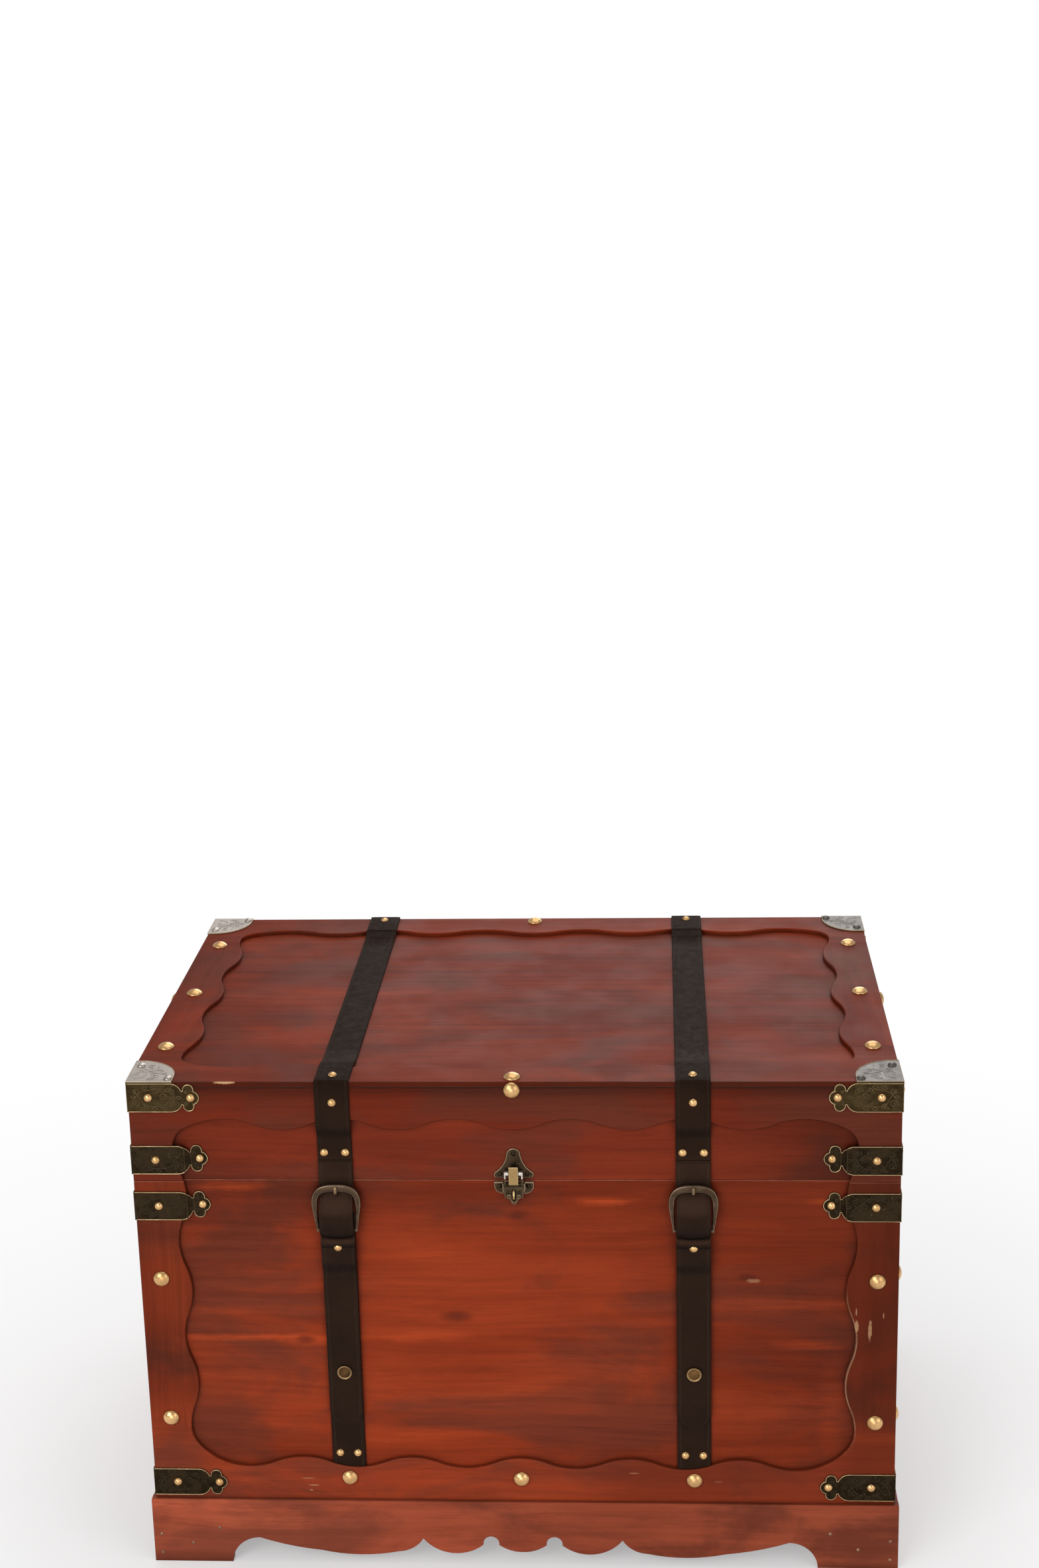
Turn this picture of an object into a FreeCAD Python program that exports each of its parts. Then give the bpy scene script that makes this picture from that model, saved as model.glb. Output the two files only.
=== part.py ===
"""Wooden trunk: framed box on a scalloped plinth, hinged lid, leather straps, brackets and a toggle latch.

Millimetres, +Z up, origin on the floor at the middle of the footprint, front towards -Y.
"""

import FreeCAD, Part
import math
import os
from FreeCAD import Vector

doc = FreeCAD.newDocument("WoodenTrunk")

# Driving sizes of the trunk, one name for each size that can be set by itself
SIZES = {
    # box
    "width": 800.0,
    "depth": 520.0,
    "height": 564.0,
    "lid_height": 112.0,
    "lid_gap": 0.6,
    "wall": 15.0,
    "floor_board": 12.0,
    "lid_board": 15.0,
    "face_board": 5.0,
    # plinth
    "plinth_height": 76.0,
    "plinth_proud": 5.0,
    "plinth_lap": 30.0,
    "foot_length": 86.0,
    "arch_rise": 33.0,
    "block_side": 45.0,
    "ledge_bevel": 1.5,
    "edge_ease": 1.0,
    # scalloped face boards
    "rail_width": 41.5,
    "rail_wave": 6.0,
    "stile_width": 43.5,
    "stile_wave": 5.5,
    "base_rail_width": 38.5,
    "corner_run": 56.5,
    "corner_drop": 32.5,
    "corner_round": 25.0,
    "base_corner_run": 61.5,
    "base_corner_drop": 47.5,
    "base_corner_round": 35.0,
    # wrap-round brackets
    "bracket_metal": 1.2,
    "bracket_height": 32.0,
    "bracket_reach": 79.3,
    "bracket_step": 55.0,
    "bracket_step_run": 6.0,
    "upper_bracket_drop": 28.0,
    "lower_bracket_lift": 20.0,
    "lid_bracket_lift": 24.0,
    "nail_near": 24.9,
    "nail_far": 70.5,
    "cap_reach": 75.0,
    "cap_plate_long": 47.0,
    "cap_plate_deep": 55.0,
    "cap_nail_near": 21.4,
    "cap_nail_far": 66.0,
    "cap_top_nail_in": 7.0,
    "cap_top_nail_off": 42.0,
    # round-headed nails, rivets and screws
    "nail_radius": 4.7,
    "nail_rise": 3.2,
    "dome_radius": 9.0,
    "dome_rise": 5.2,
    "dome_inset": 22.0,
    "dome_high_below": 113.0,
    "dome_low_lift": 97.5,
    "dome_edge": 12.5,
    "dome_row_inset": 97.0,
    "pin_radius": 2.0,
    "pin_rise": 0.8,
    "screw_radius": 2.7,
    "screw_rise": 1.3,
    # leather straps
    "leather": 2.6,
    "strap_width": 36.0,
    "strap_place": 186.5,
    "strap_slope": 18.0,
    "strap_tail": 38.0,
    "strap_clear": 0.4,
    "flap_clear": 0.6,
    "flap_pivot_lift": 22.1,
    "flap_pivot_out": 2.1,
    "flap_pivot_gap": 1.9,
    "flap_start": 0.5,
    "lid_rivet_drop": 22.0,
    "pair_rivet_lift": 32.0,
    "pair_rivet_half": 11.0,
    "base_strap_below": 38.0,
    "base_strap_lift": 36.0,
    "base_rivet_lift": 55.0,
    "base_rivet_half": 9.6,
    "tongue_rivet_below": 72.5,
    "snap_lift": 154.5,
    "snap_radius": 8.3,
    "snap_rise": 3.0,
    "stud_radius": 4.0,
    "tongue_tip_lift": 91.0,
    "tongue_tip_rise": 16.0,
    # buckle
    "buckle_half": 26.0,
    "buckle_top_below": 1.3,
    "buckle_bar_below": 52.5,
    "buckle_metal": 3.0,
    "buckle_band": 7.5,
    "buckle_leg": 5.0,
    "bar_radius": 1.6,
    "bar_fit": 0.1,
    "prong_width": 3.6,
    "prong_metal": 2.2,
    "prong_slack": 1.0,
    # toggle latch
    "latch_metal": 1.2,
    "latch_half": 20.5,
    "latch_top_lift": 35.8,
    "latch_plate_rise": 33.0,
    "latch_plate_drop": 25.0,
    "latch_gap": 1.0,
    "lip_half": 4.8,
    "lip_out": 9.2,
    "lip_rise": 20.0,
    "lip_below": 2.0,
    "lever_half": 7.6,
    "lever_metal": 2.4,
    "lever_pivot_out": 4.5,
    "lever_pivot_drop": 3.5,
    "lever_top": 2.0,
    "lever_length": 21.0,
    "slot_half": 2.1,
    "slot_top": 1.8,
    "slot_end": 18.0,
    "lever_pin": 1.2,
    "pin_clear": 0.06,
    "tab_inner": 10.2,
    "tab_metal": 1.2,
    "tab_out": 8.0,
    "tab_drop": 9.0,
    "flange_out": 3.0,
    "flange_drop": 1.4,
    "yoke_inner": 8.2,
    "yoke_arm": 1.4,
    "yoke_back": 6.6,
    "yoke_front": 8.8,
    "yoke_pin": 1.0,
    "yoke_pin_out": 7.7,
    "yoke_pin_drop": 14.0,
    "yoke_top": 13.4,
    "horn_back": 4.0,
    "horn_drop": 3.4,
    "horn_inner": 5.4,
    "bridge_out": 9.6,
    "bridge_metal": 1.2,
    "bridge_top": 3.0,
    "bridge_drop": 2.2,
    "boss_inner": 3.6,
    "boss_outer": 6.9,
    "boss_half": 2.2,
    "staple_half": 0.9,
    "staple_radius": 7.0,
    "staple_bore": 4.6,
    "staple_out": 3.6,
    "staple_drop": 13.0,
    # back hinges
    "hinge_inset": 160.0,
    "hinge_half": 25.0,
    "hinge_rise": 34.0,
    "hinge_metal": 2.0,
    "hinge_barrel": 3.6,
    "hinge_pin": 1.7,
    "hinge_axis_out": 1.8,
    "knuckle_half": 8.3,
    "knuckle_gap": 0.3,
    "knuckle_web": 5.0,
    "hinge_screw_in": 8.0,
    # side handles
    "handle_drop": 38.0,
    "handle_eye_place": 58.0,
    "handle_eye_half": 5.0,
    "handle_eye_radius": 7.0,
    "handle_eye_out": 9.0,
    "handle_pin": 3.5,
    "handle_fit": 0.05,
    "handle_plate_half": 14.0,
    "handle_plate_rise": 22.0,
    "handle_plate_metal": 2.0,
    "handle_plate_screw": 16.0,
    "handle_start": 64.0,
    "handle_shoulder": 9.0,
    "handle_bend": 18.0,
    "handle_fall": 62.0,
    "handle_radius": 4.6,
    "handle_pin_end": 51.5,
}

# Counts of half waves along each scalloped edge
LONG_WAVE_COUNT = 10
SHORT_WAVE_COUNT = 6
UP_WAVE_COUNT = 6

sheet = doc.addObject("Spreadsheet::Sheet", "Sizes")
for row, (name, value) in enumerate(SIZES.items(), start=1):
    sheet.set("A%d" % row, name)
    sheet.set("B%d" % row, repr(value))
    sheet.setAlias("B%d" % row, name)
doc.recompute()


class Values:
    """The cells of the sheet, read back as plain numbers."""


s = Values()
for name in SIZES:
    setattr(s, name, float(sheet.get(name)))

# Places that follow from the driving sizes
half_width = s.width / 2
half_depth = s.depth / 2
lid_line = s.height - s.lid_height
lid_bottom = lid_line + s.lid_gap
panel_x = half_width - s.face_board
panel_y = half_depth - s.face_board
top_under = s.height - s.face_board
plinth_drop = s.height - s.plinth_height
bracket_half = s.bracket_height / 2

# Drops from the lid's top, for what is placed by the lid line or by the plinth
pivot_drop = s.lid_height - s.flap_pivot_lift
pair_drop = s.lid_height - s.pair_rivet_lift
buckle_drop = s.lid_height + s.buckle_top_below
bar_drop = s.lid_height + s.buckle_bar_below
tongue_rivet_drop = s.lid_height + s.tongue_rivet_below
base_top_drop = s.lid_height + s.base_strap_below
snap_drop = plinth_drop - s.snap_lift
tip_drop = plinth_drop - s.tongue_tip_lift
base_rivet_drop = plinth_drop - s.base_rivet_lift
base_end_drop = plinth_drop - s.base_strap_lift

NODES = {}


def keep(label, thing):
    thing.Label = label
    NODES[label] = thing
    return thing


def bind(thing, **expressions):
    for prop, expression in expressions.items():
        thing.setExpression(prop.replace("__", "."), expression)


def place(thing, x="0", y="0", z="0"):
    bind(thing, Placement__Base__x=x, Placement__Base__y=y, Placement__Base__z=z)


def board(label, size, at):
    """A plain board whose three sizes and place are bound to the sheet."""
    box = doc.addObject("Part::Box", label)
    bind(box, Length=size[0], Width=size[1], Height=size[2])
    place(box, *at)
    return keep(label, box)


def flat(point):
    return Vector(point[0], point[1], 0)


def line(start, end):
    return Part.LineSegment(flat(start), flat(end))


def arc(start, middle, end):
    return Part.Arc(flat(start), flat(middle), flat(end))


def polygon(points):
    return [line(a, b) for a, b in zip(points, points[1:] + points[:1])]


def rectangle(x0, y0, x1, y1):
    return polygon([(x0, y0), (x1, y0), (x1, y1), (x0, y1)])


def new_body(label):
    body = doc.addObject("PartDesign::Body", label)
    body.Label = label
    return body


def draw(body, role, geometry):
    """A sketch on one of the body's own origin planes."""
    sketch = body.newObject("Sketcher::SketchObject", body.Label + "_outline")
    plane = [feature for feature in body.Origin.OriginFeatures if feature.Role == role][0]
    sketch.AttachmentSupport = [(plane, "")]
    sketch.MapMode = "FlatFace"
    sketch.addGeometry(geometry, False)
    sketch.Visibility = False
    return sketch


def pad(body, role, geometry, length, offset="0", middle=False):
    """A pad of a sketch; offset moves the sketch along its own normal."""
    sketch = draw(body, role, geometry)
    bind(sketch, AttachmentOffset__Base__z=offset)
    feature = body.newObject("PartDesign::Pad", body.Label + "_pad")
    feature.Profile = sketch
    bind(feature, Length=length)
    if middle:
        feature.SideType = "Symmetric"
    doc.recompute()
    return feature


def pocket(body, role, geometry):
    """A cut right through the body, both ways from its sketch."""
    sketch = draw(body, role, geometry)
    before = body.Shape.Volume
    feature = body.newObject("PartDesign::Pocket", body.Label + "_cut")
    feature.Profile = sketch
    feature.Type = "ThroughAll"
    feature.SideType = "Symmetric"
    doc.recompute()
    if not body.Shape.Volume < before:
        raise RuntimeError(body.Label + ": a cut removed nothing")
    return feature


def ease(body, wanted, size):
    """A small bevel on the edges of the body whose ends all pass the test."""
    names = []
    for number, edge in enumerate(body.Shape.Edges, start=1):
        if all(wanted(vertex.Point) for vertex in edge.Vertexes):
            names.append("Edge%d" % number)
    base = body.Tip
    before = body.Shape.Volume
    feature = body.newObject("PartDesign::Chamfer", body.Label + "_bevel")
    feature.Base = (base, names)
    bind(feature, Size=size)
    doc.recompute()
    if not body.Shape.Volume < before:
        raise RuntimeError(body.Label + ": a bevel removed nothing")
    return feature


def mirrored(thing, normal):
    copy = doc.addObject("Part::Mirroring", thing.Label + "_mirrored")
    copy.Source = thing
    copy.Normal = normal
    return copy


def group(label, things):
    """Several like pieces kept as one node."""
    compound = doc.addObject("Part::Compound", label)
    compound.Links = things
    return keep(label, compound)


def solids(label, shapes):
    """Pieces whose shape is worked out here, kept as one node."""
    feature = doc.addObject("Part::Feature", label)
    feature.Shape = Part.makeCompound(shapes) if len(shapes) > 1 else shapes[0]
    return keep(label, feature)


def four_corners(label, master):
    """The master bracket and its mirror images at the other three corners."""
    other_side = mirrored(master, Vector(1, 0, 0))
    back = mirrored(master, Vector(0, 1, 0))
    other_back = mirrored(back, Vector(1, 0, 0))
    return group(label, [master, other_side, back, other_back])


def prism(points, direction, start, length):
    """A straight solid; points are pairs across the given axis, in the order of the other two."""
    if direction == "x":
        corners = [Vector(start, a, b) for a, b in points]
        path = Vector(length, 0, 0)
    elif direction == "y":
        corners = [Vector(a, start, b) for a, b in points]
        path = Vector(0, length, 0)
    else:
        corners = [Vector(a, b, start) for a, b in points]
        path = Vector(0, 0, length)
    return Part.Face(Part.makePolygon(corners + corners[:1])).extrude(path)


def block(x0, x1, y0, y1, z0, z1):
    return Part.makeBox(x1 - x0, y1 - y0, z1 - z0, Vector(x0, y0, z0))


# Scalloped outlines
def wave(start, end, halves, rise, toward):
    """Tangent arcs between two low points of a wave that swells by twice its rise."""
    along = (end[0] - start[0], end[1] - start[1])
    reach = math.hypot(*along)
    unit = (along[0] / reach, along[1] / reach)
    step = reach / halves
    quarter = step / 2
    radius = (quarter ** 2 + rise ** 2) / (2 * rise)
    turn = math.asin(quarter / radius) / 2

    def at(run, lift):
        return (
            start[0] + unit[0] * run + toward[0] * lift,
            start[1] + unit[1] * run + toward[1] * lift,
        )

    run_mid = radius * math.sin(turn)
    lift_mid = radius * (1 - math.cos(turn))
    edges = [arc(at(0, 0), at(run_mid, lift_mid), at(quarter, rise))]
    for k in range(1, halves):
        peak = 2 * rise if k % 2 else 0
        edges.append(arc(at(k * step - quarter, rise), at(k * step, peak), at(k * step + quarter, rise)))
    edges.append(arc(at(reach - quarter, rise), at(reach - run_mid, lift_mid), at(reach, 0)))
    return edges


def corner(start, across, down, run, drop, radius):
    """Two tangent arcs that turn a level edge into an upright one."""
    big = ((run - radius) ** 2 + drop ** 2 - radius ** 2) / (2 * (drop - radius))
    towards = (run - radius, drop - big)
    reach = math.hypot(*towards)
    unit = (towards[0] / reach, towards[1] / reach)
    swing = math.atan2(unit[0], -unit[1])

    def at(x, y):
        return (start[0] + across[0] * x + down[0] * y, start[1] + across[1] * x + down[1] * y)

    def on_big(angle):
        return at(big * math.sin(angle), big - big * math.cos(angle))

    def on_small(angle):
        return at(run - radius + radius * math.sin(angle), drop - radius * math.cos(angle))

    quarter_turn = math.pi / 2
    return [
        arc(on_big(0), on_big(swing / 2), on_big(swing)),
        arc(on_small(swing), on_small((swing + quarter_turn) / 2), on_small(quarter_turn)),
    ]


def scalloped_loop(half_across, high, low, waves_across, low_run, low_drop, low_round, waves_up):
    """The closed inner edge of a face, symmetric about its middle."""
    top_half = half_across - s.corner_run
    low_half = half_across - low_run
    edges = wave((-top_half, high), (top_half, high), waves_across, s.rail_wave, (0, -1))
    edges += wave((-low_half, low), (low_half, low), waves_across, s.rail_wave, (0, 1))
    for side in (-1, 1):
        upper = (side * half_across, high - s.corner_drop)
        lower = (side * half_across, low + low_drop)
        edges += wave(upper, lower, waves_up, s.stile_wave, (-side, 0))
        edges += corner(
            (side * top_half, high), (side, 0), (0, -1), s.corner_run, s.corner_drop, s.corner_round
        )
        edges += corner((side * low_half, low), (side, 0), (0, 1), low_run, low_drop, low_round)
    return edges


def face_loop(half_across, waves_across):
    return scalloped_loop(
        half_across - s.stile_width,
        s.height - s.rail_width,
        s.plinth_height + s.base_rail_width,
        waves_across,
        s.base_corner_run,
        s.base_corner_drop,
        s.base_corner_round,
        UP_WAVE_COUNT,
    )


top_loop = scalloped_loop(
    half_width - s.stile_width,
    half_depth - s.rail_width,
    s.rail_width - half_depth,
    LONG_WAVE_COUNT,
    s.corner_run,
    s.corner_drop,
    s.corner_round,
    SHORT_WAVE_COUNT,
)

# Carcass boards of the chest
board(
    "body_front_panel",
    (
        "Sizes.width - 2 * Sizes.face_board",
        "Sizes.wall",
        "Sizes.height - Sizes.lid_height - Sizes.plinth_height + Sizes.plinth_lap",
    ),
    (
        "Sizes.face_board - Sizes.width / 2",
        "Sizes.face_board - Sizes.depth / 2",
        "Sizes.plinth_height - Sizes.plinth_lap",
    ),
)
board(
    "body_back_panel",
    (
        "Sizes.width - 2 * Sizes.face_board",
        "Sizes.wall",
        "Sizes.height - Sizes.lid_height - Sizes.plinth_height + Sizes.plinth_lap",
    ),
    (
        "Sizes.face_board - Sizes.width / 2",
        "Sizes.depth / 2 - Sizes.face_board - Sizes.wall",
        "Sizes.plinth_height - Sizes.plinth_lap",
    ),
)
board(
    "body_left_panel",
    (
        "Sizes.wall",
        "Sizes.depth - 2 * Sizes.face_board - 2 * Sizes.wall",
        "Sizes.height - Sizes.lid_height - Sizes.plinth_height + Sizes.plinth_lap",
    ),
    (
        "Sizes.face_board - Sizes.width / 2",
        "Sizes.face_board + Sizes.wall - Sizes.depth / 2",
        "Sizes.plinth_height - Sizes.plinth_lap",
    ),
)
board(
    "body_right_panel",
    (
        "Sizes.wall",
        "Sizes.depth - 2 * Sizes.face_board - 2 * Sizes.wall",
        "Sizes.height - Sizes.lid_height - Sizes.plinth_height + Sizes.plinth_lap",
    ),
    (
        "Sizes.width / 2 - Sizes.face_board - Sizes.wall",
        "Sizes.face_board + Sizes.wall - Sizes.depth / 2",
        "Sizes.plinth_height - Sizes.plinth_lap",
    ),
)
board(
    "body_floor",
    (
        "Sizes.width - 2 * Sizes.face_board - 2 * Sizes.wall",
        "Sizes.depth - 2 * Sizes.face_board - 2 * Sizes.wall",
        "Sizes.floor_board",
    ),
    (
        "Sizes.face_board + Sizes.wall - Sizes.width / 2",
        "Sizes.face_board + Sizes.wall - Sizes.depth / 2",
        "Sizes.plinth_height - Sizes.plinth_lap",
    ),
)

# Carcass boards of the lid
board(
    "lid_top_panel",
    ("Sizes.width - 2 * Sizes.face_board", "Sizes.depth - 2 * Sizes.face_board", "Sizes.lid_board"),
    (
        "Sizes.face_board - Sizes.width / 2",
        "Sizes.face_board - Sizes.depth / 2",
        "Sizes.height - Sizes.face_board - Sizes.lid_board",
    ),
)
LID_WALL = "Sizes.lid_height - Sizes.lid_gap - Sizes.face_board - Sizes.lid_board"
LID_Z = "Sizes.height - Sizes.lid_height + Sizes.lid_gap"
board(
    "lid_front_panel",
    ("Sizes.width - 2 * Sizes.face_board", "Sizes.wall", LID_WALL),
    ("Sizes.face_board - Sizes.width / 2", "Sizes.face_board - Sizes.depth / 2", LID_Z),
)
board(
    "lid_back_panel",
    ("Sizes.width - 2 * Sizes.face_board", "Sizes.wall", LID_WALL),
    ("Sizes.face_board - Sizes.width / 2", "Sizes.depth / 2 - Sizes.face_board - Sizes.wall", LID_Z),
)
board(
    "lid_left_panel",
    ("Sizes.wall", "Sizes.depth - 2 * Sizes.face_board - 2 * Sizes.wall", LID_WALL),
    ("Sizes.face_board - Sizes.width / 2", "Sizes.face_board + Sizes.wall - Sizes.depth / 2", LID_Z),
)
board(
    "lid_right_panel",
    ("Sizes.wall", "Sizes.depth - 2 * Sizes.face_board - 2 * Sizes.wall", LID_WALL),
    (
        "Sizes.width / 2 - Sizes.face_board - Sizes.wall",
        "Sizes.face_board + Sizes.wall - Sizes.depth / 2",
        LID_Z,
    ),
)


# Scalloped face boards, all cut by the inner loop of their face
def face_frame(label, role, board_half, half_across, low, high, waves_across, offset, outer):
    body = new_body(label)
    pad(body, role, rectangle(-board_half, low, board_half, high), "Sizes.face_board", offset)
    pocket(body, role, face_loop(half_across, waves_across))
    axis = 1 if role == "XZ_Plane" else 0
    inside = half_across - s.stile_width / 2

    def inner_edge(point):
        at_face = abs(point[axis] - outer) < s.lid_gap
        between = abs(point[1 - axis]) < inside
        return at_face and between and low + s.edge_ease < point[2] < high - s.edge_ease

    ease(body, inner_edge, "Sizes.edge_ease")
    return keep(label, body)


# The upright planes XZ and YZ have their normals along -Y and +X
FRONT = (
    "XZ_Plane",
    half_width,
    half_width,
    "Sizes.depth / 2 - Sizes.face_board",
    LONG_WAVE_COUNT,
    -half_depth,
)
BACK = ("XZ_Plane", half_width, half_width, "-Sizes.depth / 2", LONG_WAVE_COUNT, half_depth)
LEFT = ("YZ_Plane", panel_y, half_depth, "-Sizes.width / 2", SHORT_WAVE_COUNT, -half_width)
RIGHT = ("YZ_Plane", panel_y, half_depth, "Sizes.width / 2 - Sizes.face_board", SHORT_WAVE_COUNT, half_width)
for side, face in (("front", FRONT), ("back", BACK), ("left", LEFT), ("right", RIGHT)):
    role, board_half, half_across, offset, waves, outer = face
    face_frame(
        "body_%s_frame" % side,
        role,
        board_half,
        half_across,
        s.plinth_height,
        lid_line,
        waves,
        offset,
        outer,
    )
    face_frame(
        "lid_%s_frame" % side,
        role,
        board_half,
        half_across,
        lid_bottom,
        top_under,
        waves,
        offset,
        outer,
    )

top_frame = new_body("lid_top_frame")
pad(
    top_frame,
    "XY_Plane",
    rectangle(-half_width, -half_depth, half_width, half_depth),
    "Sizes.face_board",
    "Sizes.height - Sizes.face_board",
)
pocket(top_frame, "XY_Plane", top_loop)


def top_edge(point):
    on_top = abs(point[2] - s.height) < s.lid_gap
    return on_top and abs(point[0]) < half_width - s.face_board and abs(point[1]) < half_depth - s.face_board


ease(top_frame, top_edge, "Sizes.edge_ease")
keep("lid_top_frame", top_frame)

# Plinth aprons; each outline runs from the foot's inner edge to the middle, as shares
# of that distance and of the arch rise: the arc's middle point, then its end point
FRONT_EDGE_SHARES = [
    ((0.969, 0.67), (0.903, 0.92)),
    ((0.790, 0.62), (0.690, 0.47)),
    ((0.535, 0.32), (0.425, 0.45)),
    ((0.368, 0.64), (0.340, 0.94)),
    ((0.226, 0.40), (0.135, 0.73)),
    ((0.108, 1.04), (0.081, 0.73)),
    ((0.045, 0.54), (0.000, 0.47)),
]
SIDE_EDGE_SHARES = [
    ((0.944, 0.67), (0.827, 0.92)),
    ((0.700, 0.58), (0.560, 0.38)),
    ((0.455, 0.40), (0.365, 0.92)),
    ((0.200, 0.47), (0.000, 0.38)),
]


def apron_outline(half_across, foot, shares):
    inner = half_across - foot
    edges = [
        line((-half_across, 0), (-half_across, s.plinth_height)),
        line((-half_across, s.plinth_height), (half_across, s.plinth_height)),
        line((half_across, s.plinth_height), (half_across, 0)),
    ]
    for side in (-1, 1):
        at = (side * inner, 0)
        edges.append(line((side * half_across, 0), at))
        for middle, end in shares:
            via = (side * inner * middle[0], s.arch_rise * middle[1])
            to = (side * inner * end[0], s.arch_rise * end[1])
            edges.append(arc(at, via, to))
            at = to
    return edges


def apron(label, role, half_across, foot, shares, offset, outer):
    body = new_body(label)
    pad(body, role, apron_outline(half_across, foot, shares), "Sizes.face_board + Sizes.plinth_proud", offset)
    axis = 1 if role == "XZ_Plane" else 0

    def ledge(point):
        return abs(point[2] - s.plinth_height) < s.lid_gap and abs(point[axis] - outer) < s.lid_gap

    ease(body, ledge, "Sizes.ledge_bevel")
    return body


plinth_x = half_width + s.plinth_proud
front_apron = apron(
    "plinth_front_apron",
    "XZ_Plane",
    plinth_x,
    s.foot_length,
    FRONT_EDGE_SHARES,
    "Sizes.depth / 2 - Sizes.face_board",
    -half_depth - s.plinth_proud,
)
keep("plinth_front_apron", front_apron)
back_apron = apron(
    "plinth_back_apron",
    "XZ_Plane",
    plinth_x,
    s.foot_length,
    FRONT_EDGE_SHARES,
    "-Sizes.depth / 2 - Sizes.plinth_proud",
    half_depth + s.plinth_proud,
)
keep("plinth_back_apron", back_apron)
side_foot = s.foot_length - s.face_board - s.plinth_proud
right_apron = apron(
    "plinth_right_apron",
    "YZ_Plane",
    panel_y,
    side_foot,
    SIDE_EDGE_SHARES,
    "Sizes.width / 2 - Sizes.face_board",
    plinth_x,
)
group("plinth_side_aprons", [right_apron, mirrored(right_apron, Vector(1, 0, 0))])

corner_block = doc.addObject("Part::Box", "corner_block")
bind(
    corner_block,
    Length="Sizes.block_side",
    Width="Sizes.block_side",
    Height="Sizes.plinth_height - Sizes.plinth_lap",
)
place(
    corner_block,
    "Sizes.width / 2 - Sizes.face_board - Sizes.block_side",
    "Sizes.face_board - Sizes.depth / 2",
    "0",
)
four_corners("plinth_corner_blocks", corner_block)


# Wrap-round brackets, with a leaf that ends in a trefoil on each face
# Outline of the trefoil end as shares of the reach and of the half height
TREFOIL_SHARES = {
    "shoulder": (0.618, 1.0),
    "shoulder_middle": (0.704, 0.831),
    "neck": (0.757, 0.469),
    "lobe_start": (0.778, 0.5),
    "lobe_top": (0.852, 0.9375),
    "lobe_end": (0.926, 0.475),
    "tip_middle": (0.979, 0.30),
    "tip": (1.0, 0.0),
}
CLEAR_SHARE = 1.15


def ribbon(path, thick):
    """A band of even thickness on the left of its path, with mitred bends."""
    shifted = []
    for i, point in enumerate(path):
        normals = []
        for a, b in ((i - 1, i), (i, i + 1)):
            if a >= 0 and b < len(path):
                run = (path[b][0] - path[a][0], path[b][1] - path[a][1])
                reach = math.hypot(*run)
                normals.append((-run[1] / reach, run[0] / reach))
        total = (sum(n[0] for n in normals), sum(n[1] for n in normals))
        size = math.hypot(*total)
        mean = (total[0] / size, total[1] / size)
        grow = thick / (mean[0] * normals[0][0] + mean[1] * normals[0][1])
        shifted.append((point[0] + mean[0] * grow, point[1] + mean[1] * grow))
    return list(path) + shifted[::-1]


def trefoil_waste(face_edge, reach, middle, sign):
    """The waste round a leaf's end, to be cut away; face_edge is the corner's place."""

    def at(key, half):
        share = TREFOIL_SHARES[key]
        return (face_edge - sign * reach * share[0], middle + half * bracket_half * share[1])

    edges = []
    for half in (1, -1):
        edges.append(arc(at("shoulder", half), at("shoulder_middle", half), at("neck", half)))
        edges.append(line(at("neck", half), at("lobe_start", half)))
        edges.append(arc(at("lobe_start", half), at("lobe_top", half), at("lobe_end", half)))
        edges.append(arc(at("lobe_end", half), at("tip_middle", half), at("tip", half)))
    out = bracket_half * CLEAR_SHARE
    near = face_edge - sign * reach * TREFOIL_SHARES["shoulder"][0]
    far = face_edge - sign * reach * CLEAR_SHARE
    start = at("shoulder", 1)
    end = at("shoulder", -1)
    edges += [
        line(start, (near, middle + out)),
        line((near, middle + out), (far, middle + out)),
        line((far, middle + out), (far, middle - out)),
        line((far, middle - out), (near, middle - out)),
        line((near, middle - out), end),
    ]
    return edges


def bracket(label, reach, stepped, middle, height, offset, trefoil_middle):
    """One bracket at the front right corner."""
    end = s.bracket_step + s.bracket_step_run
    front = [
        (half_width - reach, -panel_y),
        (half_width - end, -panel_y),
        (half_width - s.bracket_step, -half_depth),
    ]
    side = [
        (half_width, s.bracket_step - half_depth),
        (panel_x, end - half_depth),
        (panel_x, reach - half_depth),
    ]
    if not stepped:
        front = [(half_width - reach, -half_depth)]
        side = [(half_width, reach - half_depth)]
    path = front + [(half_width, -half_depth)] + side
    body = new_body(label)
    pad(body, "XY_Plane", polygon(ribbon(path[::-1], s.bracket_metal)), height, offset, middle)
    pocket(body, "XZ_Plane", trefoil_waste(half_width, reach, trefoil_middle, 1))
    pocket(body, "YZ_Plane", trefoil_waste(-half_depth, reach, trefoil_middle, -1))
    return body


upper_z = lid_line - s.upper_bracket_drop
lower_z = s.plinth_height + s.lower_bracket_lift
lid_z = lid_bottom + s.lid_bracket_lift
FULL = "Sizes.bracket_height"
upper_bracket = bracket(
    "upper_bracket",
    s.bracket_reach,
    True,
    True,
    FULL,
    "Sizes.height - Sizes.lid_height - Sizes.upper_bracket_drop",
    upper_z,
)
four_corners("body_upper_brackets", upper_bracket)
lower_bracket = bracket(
    "lower_bracket",
    s.bracket_reach,
    False,
    True,
    FULL,
    "Sizes.plinth_height + Sizes.lower_bracket_lift",
    lower_z,
)
four_corners("body_lower_brackets", lower_bracket)
lid_bracket = bracket(
    "lid_bracket",
    s.bracket_reach,
    True,
    True,
    FULL,
    "Sizes.height - Sizes.lid_height + Sizes.lid_gap + Sizes.lid_bracket_lift",
    lid_z,
)
four_corners("lid_corner_brackets", lid_bracket)

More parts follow.
